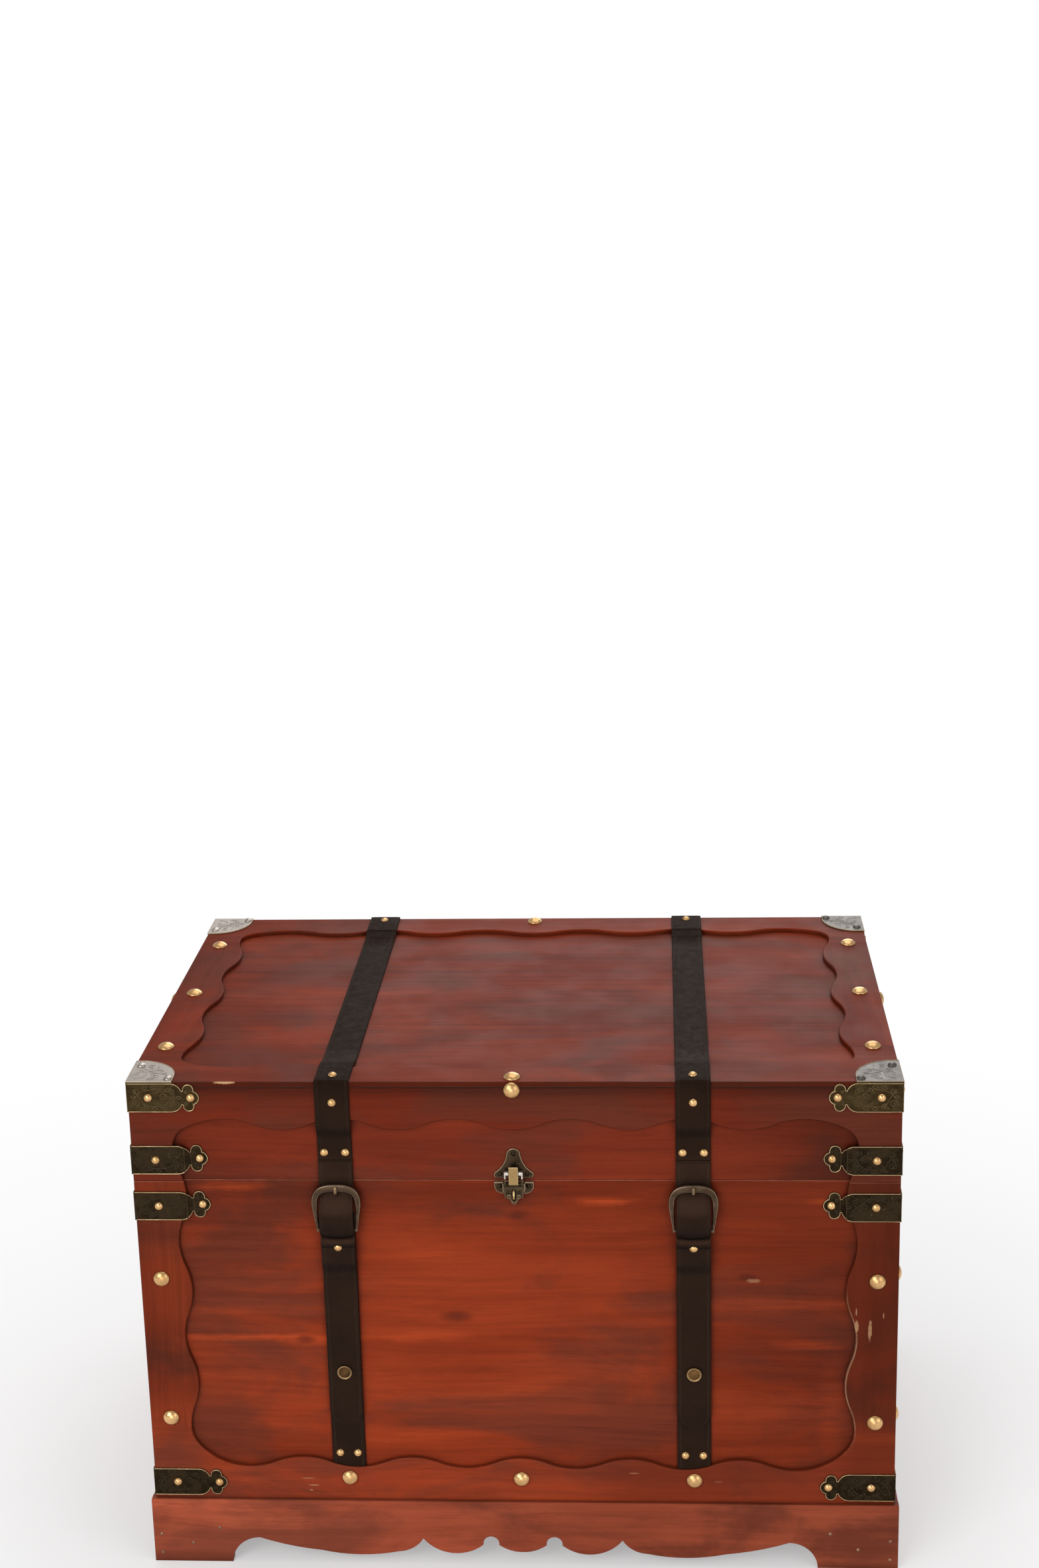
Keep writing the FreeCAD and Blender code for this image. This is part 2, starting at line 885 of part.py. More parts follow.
# Corner cap of the lid: two leaves with a rounded plate folded over the top
cap_z = s.height - bracket_half - s.bracket_metal
cap = new_body("cap")
cap_path = [
    (half_width, s.cap_reach - half_depth),
    (half_width, -half_depth),
    (half_width - s.cap_reach, -half_depth),
]
pad(
    cap,
    "XY_Plane",
    polygon(ribbon(cap_path, s.bracket_metal)),
    "Sizes.bracket_height + Sizes.bracket_metal",
    "Sizes.height - Sizes.bracket_height - Sizes.bracket_metal",
)
pocket(cap, "XZ_Plane", trefoil_waste(half_width, s.cap_reach, cap_z, 1))
pocket(cap, "YZ_Plane", trefoil_waste(-half_depth, s.cap_reach, cap_z, -1))
outer_x = half_width + s.bracket_metal
outer_y = -half_depth - s.bracket_metal
PLATE_SHARES = {"edge": 0.22, "middle": 0.76}
plate_a = (half_width - s.cap_plate_long, outer_y)
plate_b = (half_width - s.cap_plate_long, s.cap_plate_deep * PLATE_SHARES["edge"] - half_depth)
plate_mid = (
    half_width - s.cap_plate_long * PLATE_SHARES["middle"],
    s.cap_plate_deep * PLATE_SHARES["middle"] - half_depth,
)
plate_c = (half_width - s.cap_plate_long * PLATE_SHARES["edge"], s.cap_plate_deep - half_depth)
plate_d = (outer_x, s.cap_plate_deep - half_depth)
plate_e = (outer_x, outer_y)
pad(
    cap,
    "XY_Plane",
    [
        line(plate_a, plate_b),
        arc(plate_b, plate_mid, plate_c),
        line(plate_c, plate_d),
        line(plate_d, plate_e),
        line(plate_e, plate_a),
    ],
    "Sizes.bracket_metal",
    "Sizes.height",
)
four_corners("lid_corner_caps", cap)


# Round heads of nails, rivets and screws, seated on their faces
def head(radius, rise, at, normal):
    """A shallow dome with its flat back at a point of a face."""
    ball = (radius ** 2 + rise ** 2) / (2 * rise)
    turn = math.asin(radius / ball)
    middle = (ball * math.sin(turn / 2), rise - ball * (1 - math.cos(turn / 2)))
    edges = [
        Part.LineSegment(Vector(0, 0, 0), Vector(radius, 0, 0)).toShape(),
        Part.Arc(Vector(radius, 0, 0), Vector(middle[0], 0, middle[1]), Vector(0, 0, rise)).toShape(),
        Part.LineSegment(Vector(0, 0, rise), Vector(0, 0, 0)).toShape(),
    ]
    full_turn = 360
    dome = Part.Face(Part.Wire(edges)).revolve(Vector(0, 0, 0), Vector(0, 0, 1), full_turn)
    turned = FreeCAD.Rotation(Vector(0, 0, 1), Vector(*normal))
    dome.Placement = FreeCAD.Placement(Vector(*at), turned)
    return dome


AXES = {"front": (0, -1, 0), "back": (0, 1, 0), "left": (-1, 0, 0), "right": (1, 0, 0), "top": (0, 0, 1)}


def on_face(face, across, up, out):
    """A point out from the face boards' outer surface; across is X on the front and back, Y on the sides."""
    if face == "front":
        return (across, -half_depth - out, up)
    if face == "back":
        return (across, half_depth + out, up)
    if face == "left":
        return (-half_width - out, across, up)
    if face == "right":
        return (half_width + out, across, up)
    return (across, up, s.height + out)


FACES = {"front": half_width, "back": half_width, "left": half_depth, "right": half_depth}


def bracket_nails(z, near, far, far_out):
    found = []
    for face, edge in FACES.items():
        for side in (-1, 1):
            found.append(
                head(
                    s.nail_radius,
                    s.nail_rise,
                    on_face(face, side * (edge - near), z, s.bracket_metal),
                    AXES[face],
                )
            )
            found.append(
                head(s.nail_radius, s.nail_rise, on_face(face, side * (edge - far), z, far_out), AXES[face])
            )
    return found


sunk = s.bracket_metal - s.face_board
body_nails = bracket_nails(upper_z, s.nail_near, s.nail_far, sunk)
body_nails += bracket_nails(lower_z, s.nail_near, s.nail_far, s.bracket_metal)
solids("body_bracket_nails", body_nails)
lid_nails = bracket_nails(lid_z, s.nail_near, s.nail_far, sunk)
lid_nails += bracket_nails(cap_z, s.cap_nail_near, s.cap_nail_far, s.bracket_metal)
for side in (-1, 1):
    for end in (-1, 1):
        first = (side * (half_width - s.cap_top_nail_off), end * (half_depth - s.cap_top_nail_in))
        second = (side * (half_width - s.cap_top_nail_in), end * (half_depth - s.cap_top_nail_off))
        for x, y in (first, second):
            lid_nails.append(
                head(s.nail_radius, s.nail_rise, (x, y, s.height + s.bracket_metal), AXES["top"])
            )
solids("lid_bracket_nails", lid_nails)

body_domes = []
lid_domes = []
for face, edge in FACES.items():
    for side in (-1, 1):
        for up in (lid_line - s.dome_high_below, s.plinth_height + s.dome_low_lift):
            body_domes.append(
                head(
                    s.dome_radius,
                    s.dome_rise,
                    on_face(face, side * (edge - s.dome_inset), up, 0),
                    AXES[face],
                )
            )
    rail_z = s.plinth_height + s.base_rail_width - s.dome_edge
    row = (-s.strap_place, 0, s.strap_place) if edge == half_width else (0,)
    for across in row:
        body_domes.append(head(s.dome_radius, s.dome_rise, on_face(face, across, rail_z, 0), AXES[face]))
    lid_domes.append(
        head(s.dome_radius, s.dome_rise, on_face(face, 0, top_under - s.dome_radius / 2, 0), AXES[face])
    )
for side in (-1, 1):
    lid_domes.append(
        head(s.dome_radius, s.dome_rise, (0, side * (half_depth - s.dome_edge), s.height), AXES["top"])
    )
    for y in (s.dome_row_inset - half_depth, 0, half_depth - s.dome_row_inset):
        lid_domes.append(
            head(s.dome_radius, s.dome_rise, (side * (half_width - s.dome_inset), y, s.height), AXES["top"])
        )
solids("body_dome_nails", body_domes)
solids("lid_dome_nails", lid_domes)

# Small pins that hold the aprons to the corner blocks
PIN_SHARES = ((0.05, 0.14), (0.05, 0.44), (0.45, 0.30), (0.80, 0.55))
pins = []
for side in (-1, 1):
    for along, up in PIN_SHARES:
        x = side * (plinth_x - s.foot_length * (along + PIN_SHARES[0][0]))
        z = s.plinth_height * up
        pins.append(head(s.pin_radius, s.pin_rise, (x, -half_depth - s.plinth_proud, z), AXES["front"]))
        pins.append(head(s.pin_radius, s.pin_rise, (x, half_depth + s.plinth_proud, z), AXES["back"]))
solids("plinth_pins", pins)


# Leather straps
def front_point(out, drop):
    """A (y, z) point out from the front panel and down from the lid's top."""
    return (-panel_y - out, s.height - drop)


half_strap = s.strap_width / 2


def strap_body(label, points, place_x):
    """Leather band with the given side outline, as wide as the strap."""
    body = new_body(label)
    pad(body, "YZ_Plane", polygon(points), "Sizes.strap_width", place_x, True)
    return body


RIGHT_STRAP = "Sizes.strap_place"
rail_end = s.rail_width + s.rail_wave
strap_foot = pivot_drop - s.flap_pivot_gap
FRONT_SLOPE_SHARE = 0.6475
front_slope = FRONT_SLOPE_SHARE * (pair_drop - s.nail_radius - rail_end)
lid_path = [
    front_point(0, strap_foot),
    front_point(0, rail_end + front_slope),
    front_point(s.face_board, rail_end),
    (-half_depth, s.height),
    (rail_end - half_depth, s.height),
    (rail_end + s.strap_slope - half_depth, top_under),
    (half_depth - rail_end - s.strap_slope, top_under),
    (half_depth - rail_end, s.height),
    (half_depth, s.height),
    (half_depth, s.height - s.strap_tail),
]
lid_strap = strap_body("lid_strap", ribbon(lid_path, s.leather), RIGHT_STRAP)
group("lid_straps", [lid_strap, mirrored(lid_strap, Vector(1, 0, 0))])

base_strap = strap_body(
    "base_strap",
    ribbon([front_point(0, base_end_drop), front_point(0, base_top_drop)], s.leather),
    RIGHT_STRAP,
)
snap_z = s.height - snap_drop
pocket(
    base_strap, "XZ_Plane", [Part.Circle(Vector(s.strap_place, snap_z, 0), Vector(0, 0, 1), s.stud_radius)]
)
trimmed = doc.addObject("Part::Cut", "base_strap_trimmed")
trimmed.Base = base_strap
trimmed.Tool = NODES["body_front_frame"]
group("base_straps", [trimmed, mirrored(trimmed, Vector(1, 0, 0))])

# Swinging part of the strap: the lid strap's end runs under the buckle's arch, swells
# in its window and dives behind the bar; places are shares of the drop from the pivot
# to the bar, and heights above the panel are shares of the buckle's own stack
flap_out = s.flap_clear
rest_out = s.leather + s.strap_clear
bar_out = rest_out + s.leather + s.leather + s.bar_radius + s.bar_fit
reach = bar_drop - pivot_drop
swell = bar_out - rest_out
SWELL_SHARES = [
    (0.290, 0.02),
    (0.389, 0.18),
    (0.470, 0.36),
    (0.560, 0.50),
    (0.630, 0.98),
    (0.700, 1.20),
    (0.770, 1.10),
    (0.840, 0.52),
    (0.900, 0.12),
    (0.950, 0.02),
]
tail_end = bar_drop + s.strap_width - s.leather
flap_path = [front_point(rest_out, tail_end), front_point(rest_out, bar_drop)]
for share, lift in SWELL_SHARES[::-1]:
    flap_path.append(
        front_point(flap_out + (rest_out - flap_out) * share + swell * lift, pivot_drop + reach * share)
    )
flap_path.append(front_point(flap_out, pivot_drop + s.flap_start))
slot_half = s.prong_width / 2 + s.prong_slack
RIGHT_SLOT = (s.strap_place - slot_half, s.strap_place + slot_half)
HOLE_SHARES = (0.50, 0.62)
SLOT_SHARES = (0.80, 1.08)


def flap_cut(shares):
    top = s.height - pivot_drop - reach * shares[0]
    low = s.height - pivot_drop - reach * shares[1]
    return rectangle(RIGHT_SLOT[0], low, RIGHT_SLOT[1], top)


def two_sides(label, master):
    """The right-hand piece and its mirror image, as two nodes."""
    keep(label + "_right", master)
    keep(label + "_left", mirrored(master, Vector(1, 0, 0)))


flap = strap_body("flap_strap_right", ribbon(flap_path, s.leather), RIGHT_STRAP)
pocket(flap, "XZ_Plane", flap_cut(HOLE_SHARES))
pocket(flap, "XZ_Plane", flap_cut(SLOT_SHARES))
two_sides("flap_strap", flap)

# Tongue: a fold round the buckle's bar, then a long tail with a rounded tip
fold_in = s.bar_radius + s.bar_fit
fold_out = fold_in + s.leather
back_out = rest_out + s.leather
front_out = back_out + s.leather
tail_start = tail_end + s.leather
tongue = new_body("tongue_right")
front_path = [
    front_point(rest_out, tip_drop + s.leather),
    front_point(rest_out, tail_start + s.strap_slope),
    front_point(front_out, tail_start),
    front_point(front_out, tongue_rivet_drop - s.nail_radius - s.strap_clear),
    front_point(bar_out + fold_in, bar_drop + fold_in),
    front_point(bar_out + fold_in, bar_drop),
]
pad(tongue, "YZ_Plane", polygon(ribbon(front_path, s.leather)), "Sizes.strap_width", RIGHT_STRAP, True)
back_path = [front_point(back_out, tail_end), front_point(back_out, bar_drop)]
pad(tongue, "YZ_Plane", polygon(ribbon(back_path, s.leather)), "Sizes.strap_width", RIGHT_STRAP, True)
centre = front_point(bar_out, bar_drop)
fold = [
    arc(
        (centre[0] + fold_out, centre[1]),
        (centre[0], centre[1] + fold_out),
        (centre[0] - fold_out, centre[1]),
    ),
    line((centre[0] - fold_out, centre[1]), (centre[0] - fold_in, centre[1])),
    arc((centre[0] - fold_in, centre[1]), (centre[0], centre[1] + fold_in), (centre[0] + fold_in, centre[1])),
    line((centre[0] + fold_in, centre[1]), (centre[0] + fold_out, centre[1])),
]
pad(tongue, "YZ_Plane", fold, "Sizes.strap_width", RIGHT_STRAP, True)
slot_top = s.height - bar_drop + s.strap_width
slot_low = s.height - bar_drop - s.bar_radius - s.prong_metal - s.prong_slack
pocket(tongue, "XZ_Plane", rectangle(RIGHT_SLOT[0], slot_low, RIGHT_SLOT[1], slot_top))
tip_z = s.height - tip_drop
tip_edge = s.strap_place - half_strap
TIP_SHARE = 0.68
tip_waste = [
    arc(
        (tip_edge, tip_z + s.tongue_tip_rise),
        (s.strap_place - half_strap * TIP_SHARE, tip_z + s.tongue_tip_rise * (1 - TIP_SHARE)),
        (s.strap_place, tip_z),
    ),
    arc(
        (s.strap_place, tip_z),
        (s.strap_place + half_strap * TIP_SHARE, tip_z + s.tongue_tip_rise * (1 - TIP_SHARE)),
        (s.strap_place + half_strap, tip_z + s.tongue_tip_rise),
    ),
    line(
        (s.strap_place + half_strap, tip_z + s.tongue_tip_rise),
        (s.strap_place + s.strap_width, tip_z + s.tongue_tip_rise),
    ),
    line(
        (s.strap_place + s.strap_width, tip_z + s.tongue_tip_rise),
        (s.strap_place + s.strap_width, tip_z - s.strap_width),
    ),
    line(
        (s.strap_place + s.strap_width, tip_z - s.strap_width),
        (s.strap_place - s.strap_width, tip_z - s.strap_width),
    ),
    line(
        (s.strap_place - s.strap_width, tip_z - s.strap_width),
        (s.strap_place - s.strap_width, tip_z + s.tongue_tip_rise),
    ),
    line((s.strap_place - s.strap_width, tip_z + s.tongue_tip_rise), (tip_edge, tip_z + s.tongue_tip_rise)),
]
pocket(tongue, "XZ_Plane", tip_waste)
two_sides("tongue", tongue)

# Buckle: a horseshoe of flat metal with a round bar through the tongue's fold
buckle = new_body("buckle_right")
arch_top = s.height - buckle_drop
bar_z = s.height - bar_drop
OUTER_SHARES = {
    "shoulder": (0.92, 0.20),
    "shoulder_middle": (0.60, 0.06),
    "waist": (1.0, 0.52),
    "waist_middle": (0.985, 0.36),
    "low": (0.90, 0.86),
}
rise = arch_top - bar_z
leg_in = s.buckle_half - s.buckle_leg


def buckle_ring(half, top, low):
    """Right and left halves of a horseshoe line, from the middle of the arch to the bar."""
    tall = top - low
    edges = []
    for side in (-1, 1):

        def at(share):
            return (s.strap_place + side * half * share[0], top - tall * share[1])

        shoulder = at(OUTER_SHARES["shoulder"])
        edges.append(arc(at((0, 0)), at(OUTER_SHARES["shoulder_middle"]), shoulder))
        edges.append(arc(shoulder, at(OUTER_SHARES["waist_middle"]), at(OUTER_SHARES["waist"])))
        edges.append(line(at(OUTER_SHARES["waist"]), at((OUTER_SHARES["low"][0], 1.0))))
    low_half = half * OUTER_SHARES["low"][0]
    edges.append(line((s.strap_place - low_half, low), (s.strap_place + low_half, low)))
    return edges


leg_low = bar_z - s.buckle_metal
ring = buckle_ring(s.buckle_half, arch_top, leg_low)
hole = buckle_ring(leg_in, arch_top - s.buckle_band, leg_low - s.buckle_metal)
pad(buckle, "XZ_Plane", ring, "Sizes.buckle_metal", "0")
pocket(buckle, "XZ_Plane", hole)
buckle_y = -panel_y - bar_out + s.buckle_metal / 2
horseshoe = buckle.Shape.copy()
horseshoe.translate(Vector(0, buckle_y, 0))
bar_half = s.buckle_half * OUTER_SHARES["low"][0] - s.buckle_leg / 2
bar = Part.makeCylinder(
    s.bar_radius, 2 * bar_half, Vector(s.strap_place - bar_half, -panel_y - bar_out, bar_z), Vector(1, 0, 0)
)
buckle_piece = doc.addObject("Part::Feature", "buckle_piece")
buckle_piece.Shape = horseshoe.fuse(bar).removeSplitter()
two_sides("buckle", buckle_piece)

# Prong: an eye round the bar, a shank behind the strap and a tip over the arch
arch_front = bar_out + s.buckle_metal / 2
PRONG_SHARES = [(0.985, 0.62), (0.87, 0.25), (0.61, 0.25)]
eye_in = s.bar_radius + s.bar_fit
prong_path = []
for share, lift in PRONG_SHARES:
    prong_path.append(front_point(rest_out + swell * lift - s.prong_metal / 2, pivot_drop + reach * share))
prong_path.append(front_point(arch_front + s.bar_fit, buckle_drop + s.buckle_band + s.buckle_leg))
prong_path.append(front_point(arch_front + s.bar_fit, buckle_drop + s.buckle_leg / 2))
shank = prism(ribbon(prong_path, s.prong_metal), "x", s.strap_place - s.prong_width / 2, s.prong_width)
eye_axis = Vector(s.strap_place - s.prong_width / 2, -panel_y - bar_out, bar_z)
eye = Part.makeCylinder(eye_in + s.prong_metal, s.prong_width, eye_axis, Vector(1, 0, 0))
bore = Part.makeCylinder(eye_in, s.prong_width, eye_axis, Vector(1, 0, 0))
prong = doc.addObject("Part::Feature", "prong")
prong.Shape = shank.fuse(eye).cut(bore).removeSplitter()
two_sides("prong", prong)

# Studs that swing with the straps, and those that stay on the chest and the lid
tongue_stud_shapes = [
    head(
        s.nail_radius,
        s.nail_rise,
        (s.strap_place, -panel_y - front_out - s.leather, s.height - tongue_rivet_drop),
        AXES["front"],
    ),
    head(s.snap_radius, s.snap_rise, (s.strap_place, -panel_y - rest_out - s.leather, snap_z), AXES["front"]),
]
tongue_studs = doc.addObject("Part::Feature", "tongue_studs")
tongue_studs.Shape = Part.makeCompound(tongue_stud_shapes)
two_sides("tongue_studs", tongue_studs)

base_studs = []
lid_rivets = []
for side in (-1, 1):
    middle = side * s.strap_place
    for across in (-s.base_rivet_half, s.base_rivet_half):
        base_studs.append(
            head(
                s.nail_radius,
                s.nail_rise,
                (middle + across, -panel_y - s.leather, s.height - base_rivet_drop),
                AXES["front"],
            )
        )
    base_studs.append(
        Part.makeCylinder(
            s.stud_radius, s.leather, Vector(middle, -panel_y, snap_z), Vector(*AXES["front"])
        )
    )
    for across in (-s.pair_rivet_half, s.pair_rivet_half):
        lid_rivets.append(
            head(
                s.nail_radius,
                s.nail_rise,
                (middle + across, -panel_y - s.leather, s.height - pair_drop),
                AXES["front"],
            )
        )
    lid_rivets.append(
        head(
            s.nail_radius,
            s.nail_rise,
            on_face("front", middle, s.height - s.lid_rivet_drop, s.leather),
            AXES["front"],
        )
    )
    lid_rivets.append(
        head(
            s.nail_radius,
            s.nail_rise,
            on_face("back", middle, s.height - s.lid_rivet_drop, s.leather),
            AXES["back"],
        )
    )
    for end in (-1, 1):
        lid_rivets.append(
            head(
                s.nail_radius,
                s.nail_rise,
                on_face("top", middle, end * (half_depth - s.dome_edge), s.leather),
                AXES["top"],
            )
        )
solids("base_strap_studs", base_studs)
solids("lid_strap_rivets", lid_rivets)

# Toggle latch: plate and lip on the lid
# Plate outlines as shares of the half width and of the plate's height
LID_PLATE_SHARES = {
    "crown": (0.33, 0.14),
    "waist": (0.51, 0.51),
    "hip": (0.88, 0.78),
    "lobe": (1.0, 0.90),
    "heel": (0.83, 1.0),
}
BODY_PLATE_SHARES = {
    "ear": (1.0, 0.20),
    "ear_round": (0.88, 0.45),
    "waist": (0.51, 0.54),
    "flank": (0.33, 0.73),
    "point": (0.14, 0.91),
}
plate_top = lid_line + s.latch_top_lift
plate_low = plate_top - s.latch_plate_rise


def latch_point(share, side, top, tall):
    return (side * s.latch_half * share[0], top - tall * share[1])


lid_outline = []
for side in (-1, 1):
    keys = {
        key: latch_point(share, side, plate_top, s.latch_plate_rise)
        for key, share in LID_PLATE_SHARES.items()
    }
    lid_outline.append(arc(keys["crown"], keys["waist"], keys["hip"]))
    lid_outline.append(arc(keys["hip"], keys["lobe"], keys["heel"]))
    if side > 0:
        lid_outline.append(arc((-keys["crown"][0], keys["crown"][1]), (0, plate_top), keys["crown"]))
        lid_outline.append(line((-keys["heel"][0], keys["heel"][1]), keys["heel"]))
latch_lid = new_body("latch_lid_plate")
pad(latch_lid, "XZ_Plane", lid_outline, "Sizes.latch_metal", "Sizes.depth / 2 - Sizes.face_board")
lip_low = lid_line - s.lip_below
lip_top = lip_low + s.lip_rise
lip = [
    (-panel_y, plate_low),
    (-panel_y, plate_low + s.latch_metal),
    (-panel_y - s.latch_metal, plate_low + s.latch_metal),
    (-panel_y - s.lip_out + s.latch_metal, lip_low + s.latch_metal),
    (-panel_y - s.lip_out + s.latch_metal, lip_top),
    (-panel_y - s.lip_out, lip_top),
    (-panel_y - s.lip_out, lip_low),
    (-panel_y - s.lip_out + s.latch_metal, lip_low),
]
pad(latch_lid, "YZ_Plane", polygon(lip), "2 * Sizes.lip_half", "0", True)
keep("latch_lid_plate", latch_lid)

# Plate with ears, flange and pivot tabs on the chest, and the padlock staple
body_plate_top = lid_line - s.latch_gap
pivot_z = body_plate_top - s.lever_pivot_drop + s.latch_gap / 2
pivot_y = -panel_y - s.lever_pivot_out
body_outline = []
for side in (-1, 1):
    keys = {
        key: latch_point(share, side, body_plate_top, s.latch_plate_drop)
        for key, share in BODY_PLATE_SHARES.items()
    }
    body_outline.append(line(latch_point((1, 0), side, body_plate_top, s.latch_plate_drop), keys["ear"]))
    body_outline.append(arc(keys["ear"], keys["ear_round"], keys["waist"]))
    body_outline.append(arc(keys["waist"], keys["flank"], keys["point"]))
    if side > 0:
        tip = (0, body_plate_top - s.latch_plate_drop)
        body_outline.append(arc((-keys["point"][0], keys["point"][1]), tip, keys["point"]))
        body_outline.append(line((-s.latch_half, body_plate_top), (s.latch_half, body_plate_top)))
latch_base = new_body("latch_base_sheet")
pad(latch_base, "XZ_Plane", body_outline, "Sizes.latch_metal", "Sizes.depth / 2 - Sizes.face_board")
base_shape = latch_base.Shape.copy()
tab_end = s.tab_inner + s.tab_metal
for side in (-1, 1):
    x0, x1 = sorted((side * s.tab_inner, side * tab_end))
    base_shape = base_shape.fuse(
        block(x0, x1, -panel_y - s.tab_out, -panel_y, body_plate_top - s.tab_drop, body_plate_top)
    )
    x0, x1 = sorted((side * tab_end, side * s.latch_half))
    base_shape = base_shape.fuse(
        block(x0, x1, -panel_y - s.flange_out, -panel_y, body_plate_top - s.flange_drop, body_plate_top)
    )
pin_hole = Part.makeCylinder(
    s.lever_pin + s.pin_clear, 2 * s.latch_half, Vector(-s.latch_half, pivot_y, pivot_z), Vector(1, 0, 0)
)
solids("latch_body_plate", [base_shape.cut(pin_hole).removeSplitter()])

staple_z = body_plate_top - s.staple_drop + s.latch_gap / 2
staple_y = -panel_y - s.staple_out
staple_x = -s.staple_half


def d_shape(radius):
    """A half disc with straight legs down to the plate, as thick as the staple."""
    thick = 2 * s.staple_half
    disc = Part.makeCylinder(radius, thick, Vector(staple_x, staple_y, staple_z), Vector(1, 0, 0))
    legs = block(
        staple_x,
        staple_x + thick,
        staple_y,
        -panel_y - s.latch_metal,
        staple_z - radius,
        staple_z + radius,
    )
    front_half = block(
        staple_x,
        staple_x + thick,
        staple_y - radius,
        staple_y,
        staple_z - radius,
        staple_z + radius,
    )
    return disc.common(front_half).fuse(legs)


solids("latch_staple", [d_shape(s.staple_radius).cut(d_shape(s.staple_bore)).removeSplitter()])

# Lever with its pivot pin and two bosses
LEVER_SHARES = {"flank": (1.0, 0.54), "point": (0.28, 0.94)}
lever_top = pivot_z + s.lever_top
lever_low = lever_top - s.lever_length - s.lever_top
lever_outline = [
    line((-s.lever_half, lever_top), (s.lever_half, lever_top)),
    arc(
        (
            -s.lever_half * LEVER_SHARES["point"][0],
            lever_top + (lever_low - lever_top) * LEVER_SHARES["point"][1],
        ),
        (0, lever_low),
        (
            s.lever_half * LEVER_SHARES["point"][0],
            lever_top + (lever_low - lever_top) * LEVER_SHARES["point"][1],
        ),
    ),
]
for side in (-1, 1):
    flank = (side * s.lever_half, lever_top + (lever_low - lever_top) * LEVER_SHARES["flank"][1])
    point = (
        side * s.lever_half * LEVER_SHARES["point"][0],
        lever_top + (lever_low - lever_top) * LEVER_SHARES["point"][1],
    )
    lever_outline += [line((side * s.lever_half, lever_top), flank), line(flank, point)]
lever = new_body("latch_lever_sheet")
pad(
    lever,
    "XZ_Plane",
    lever_outline,
    "Sizes.lever_metal",
    "Sizes.depth / 2 - Sizes.face_board + Sizes.lever_pivot_out - Sizes.lever_metal / 2",
)
pocket(lever, "XZ_Plane", rectangle(-s.slot_half, pivot_z - s.slot_end, s.slot_half, pivot_z - s.slot_top))
lever_shape = lever.Shape.copy()
yoke_y = -panel_y - s.yoke_pin_out
yoke_z = body_plate_top - s.yoke_pin_drop + s.latch_gap / 2
pin_reach = tab_end + s.pin_rise
lever_shape = lever_shape.fuse(
    Part.makeCylinder(s.lever_pin, 2 * pin_reach, Vector(-pin_reach, pivot_y, pivot_z), Vector(1, 0, 0))
)
for side in (-1, 1):
    x0, x1 = sorted((side * s.boss_inner, side * s.boss_outer))
    lever_shape = lever_shape.fuse(
        block(x0, x1, yoke_y - s.boss_half, pivot_y, yoke_z - s.boss_half, yoke_z + s.boss_half)
    )
yoke_hole = Part.makeCylinder(
    s.yoke_pin + s.pin_clear, 2 * s.latch_half, Vector(-s.latch_half, yoke_y, yoke_z), Vector(1, 0, 0)
)
slot_void = block(
    -s.slot_half,
    s.slot_half,
    yoke_y - s.latch_half,
    -panel_y,
    pivot_z - s.slot_end,
    pivot_z - s.slot_top,
)
solids("latch_lever", [lever_shape.cut(yoke_hole).cut(slot_void).removeSplitter()])

# Yoke: two arms joined by a bridge, with horns that reach in beside the lid's lip
yoke_top_z = lid_line + s.yoke_top - s.latch_gap
yoke_low_z = yoke_z - s.boss_half
arm_end = s.yoke_inner + s.yoke_arm
bridge_z = body_plate_top - s.bridge_top + s.latch_gap / 2
yoke_shapes = []
for side in (-1, 1):
    x0, x1 = sorted((side * s.yoke_inner, side * arm_end))
    yoke_shapes.append(block(x0, x1, -panel_y - s.yoke_front, -panel_y - s.yoke_back, yoke_low_z, yoke_top_z))
    yoke_shapes.append(
        block(
            x0,
            x1,
            -panel_y - s.bridge_out - s.bridge_metal,
            -panel_y - s.yoke_back,
            bridge_z - s.bridge_drop,
            bridge_z,
        )
    )
    h0, h1 = sorted((side * s.horn_inner, side * arm_end))
    yoke_shapes.append(
        block(h0, h1, -panel_y - s.yoke_front, -panel_y - s.horn_back, yoke_top_z - s.horn_drop, yoke_top_z)
    )
    p0 = min(side * s.boss_inner, side * s.yoke_inner)
    yoke_shapes.append(
        Part.makeCylinder(
            s.yoke_pin, s.yoke_inner - s.boss_inner, Vector(p0, yoke_y, yoke_z), Vector(1, 0, 0)
        )
    )
yoke_shapes.append(
    block(
        -arm_end,
        arm_end,
        -panel_y - s.bridge_out - s.bridge_metal,
        -panel_y - s.bridge_out,
        bridge_z - s.bridge_drop,
        bridge_z,
    )
)
solids("latch_yoke", [yoke_shapes[0].multiFuse(yoke_shapes[1:]).removeSplitter()])

# Back hinges
hinge_y = half_depth + s.hinge_axis_out
hinge_z = lid_line + s.lid_gap / 2


def leaf(middle, low, high, web_low, web_high, ranges):
    """A leaf on the sunk back panel, with its knuckles and the webs that carry them."""
    shape = block(middle - s.hinge_half, middle + s.hinge_half, panel_y, panel_y + s.hinge_metal, low, high)
    for start, end in ranges:
        shape = shape.fuse(block(middle + start, middle + end, panel_y, hinge_y, web_low, web_high))
        barrel = Part.makeCylinder(
            s.hinge_barrel, end - start, Vector(middle + start, hinge_y, hinge_z), Vector(1, 0, 0)
        )
        shape = shape.fuse(barrel)
    hole = Part.makeCylinder(
        s.hinge_pin + s.handle_fit,
        2 * s.hinge_half,
        Vector(middle - s.hinge_half, hinge_y, hinge_z),
        Vector(1, 0, 0),
    )
    return shape.cut(hole).removeSplitter()


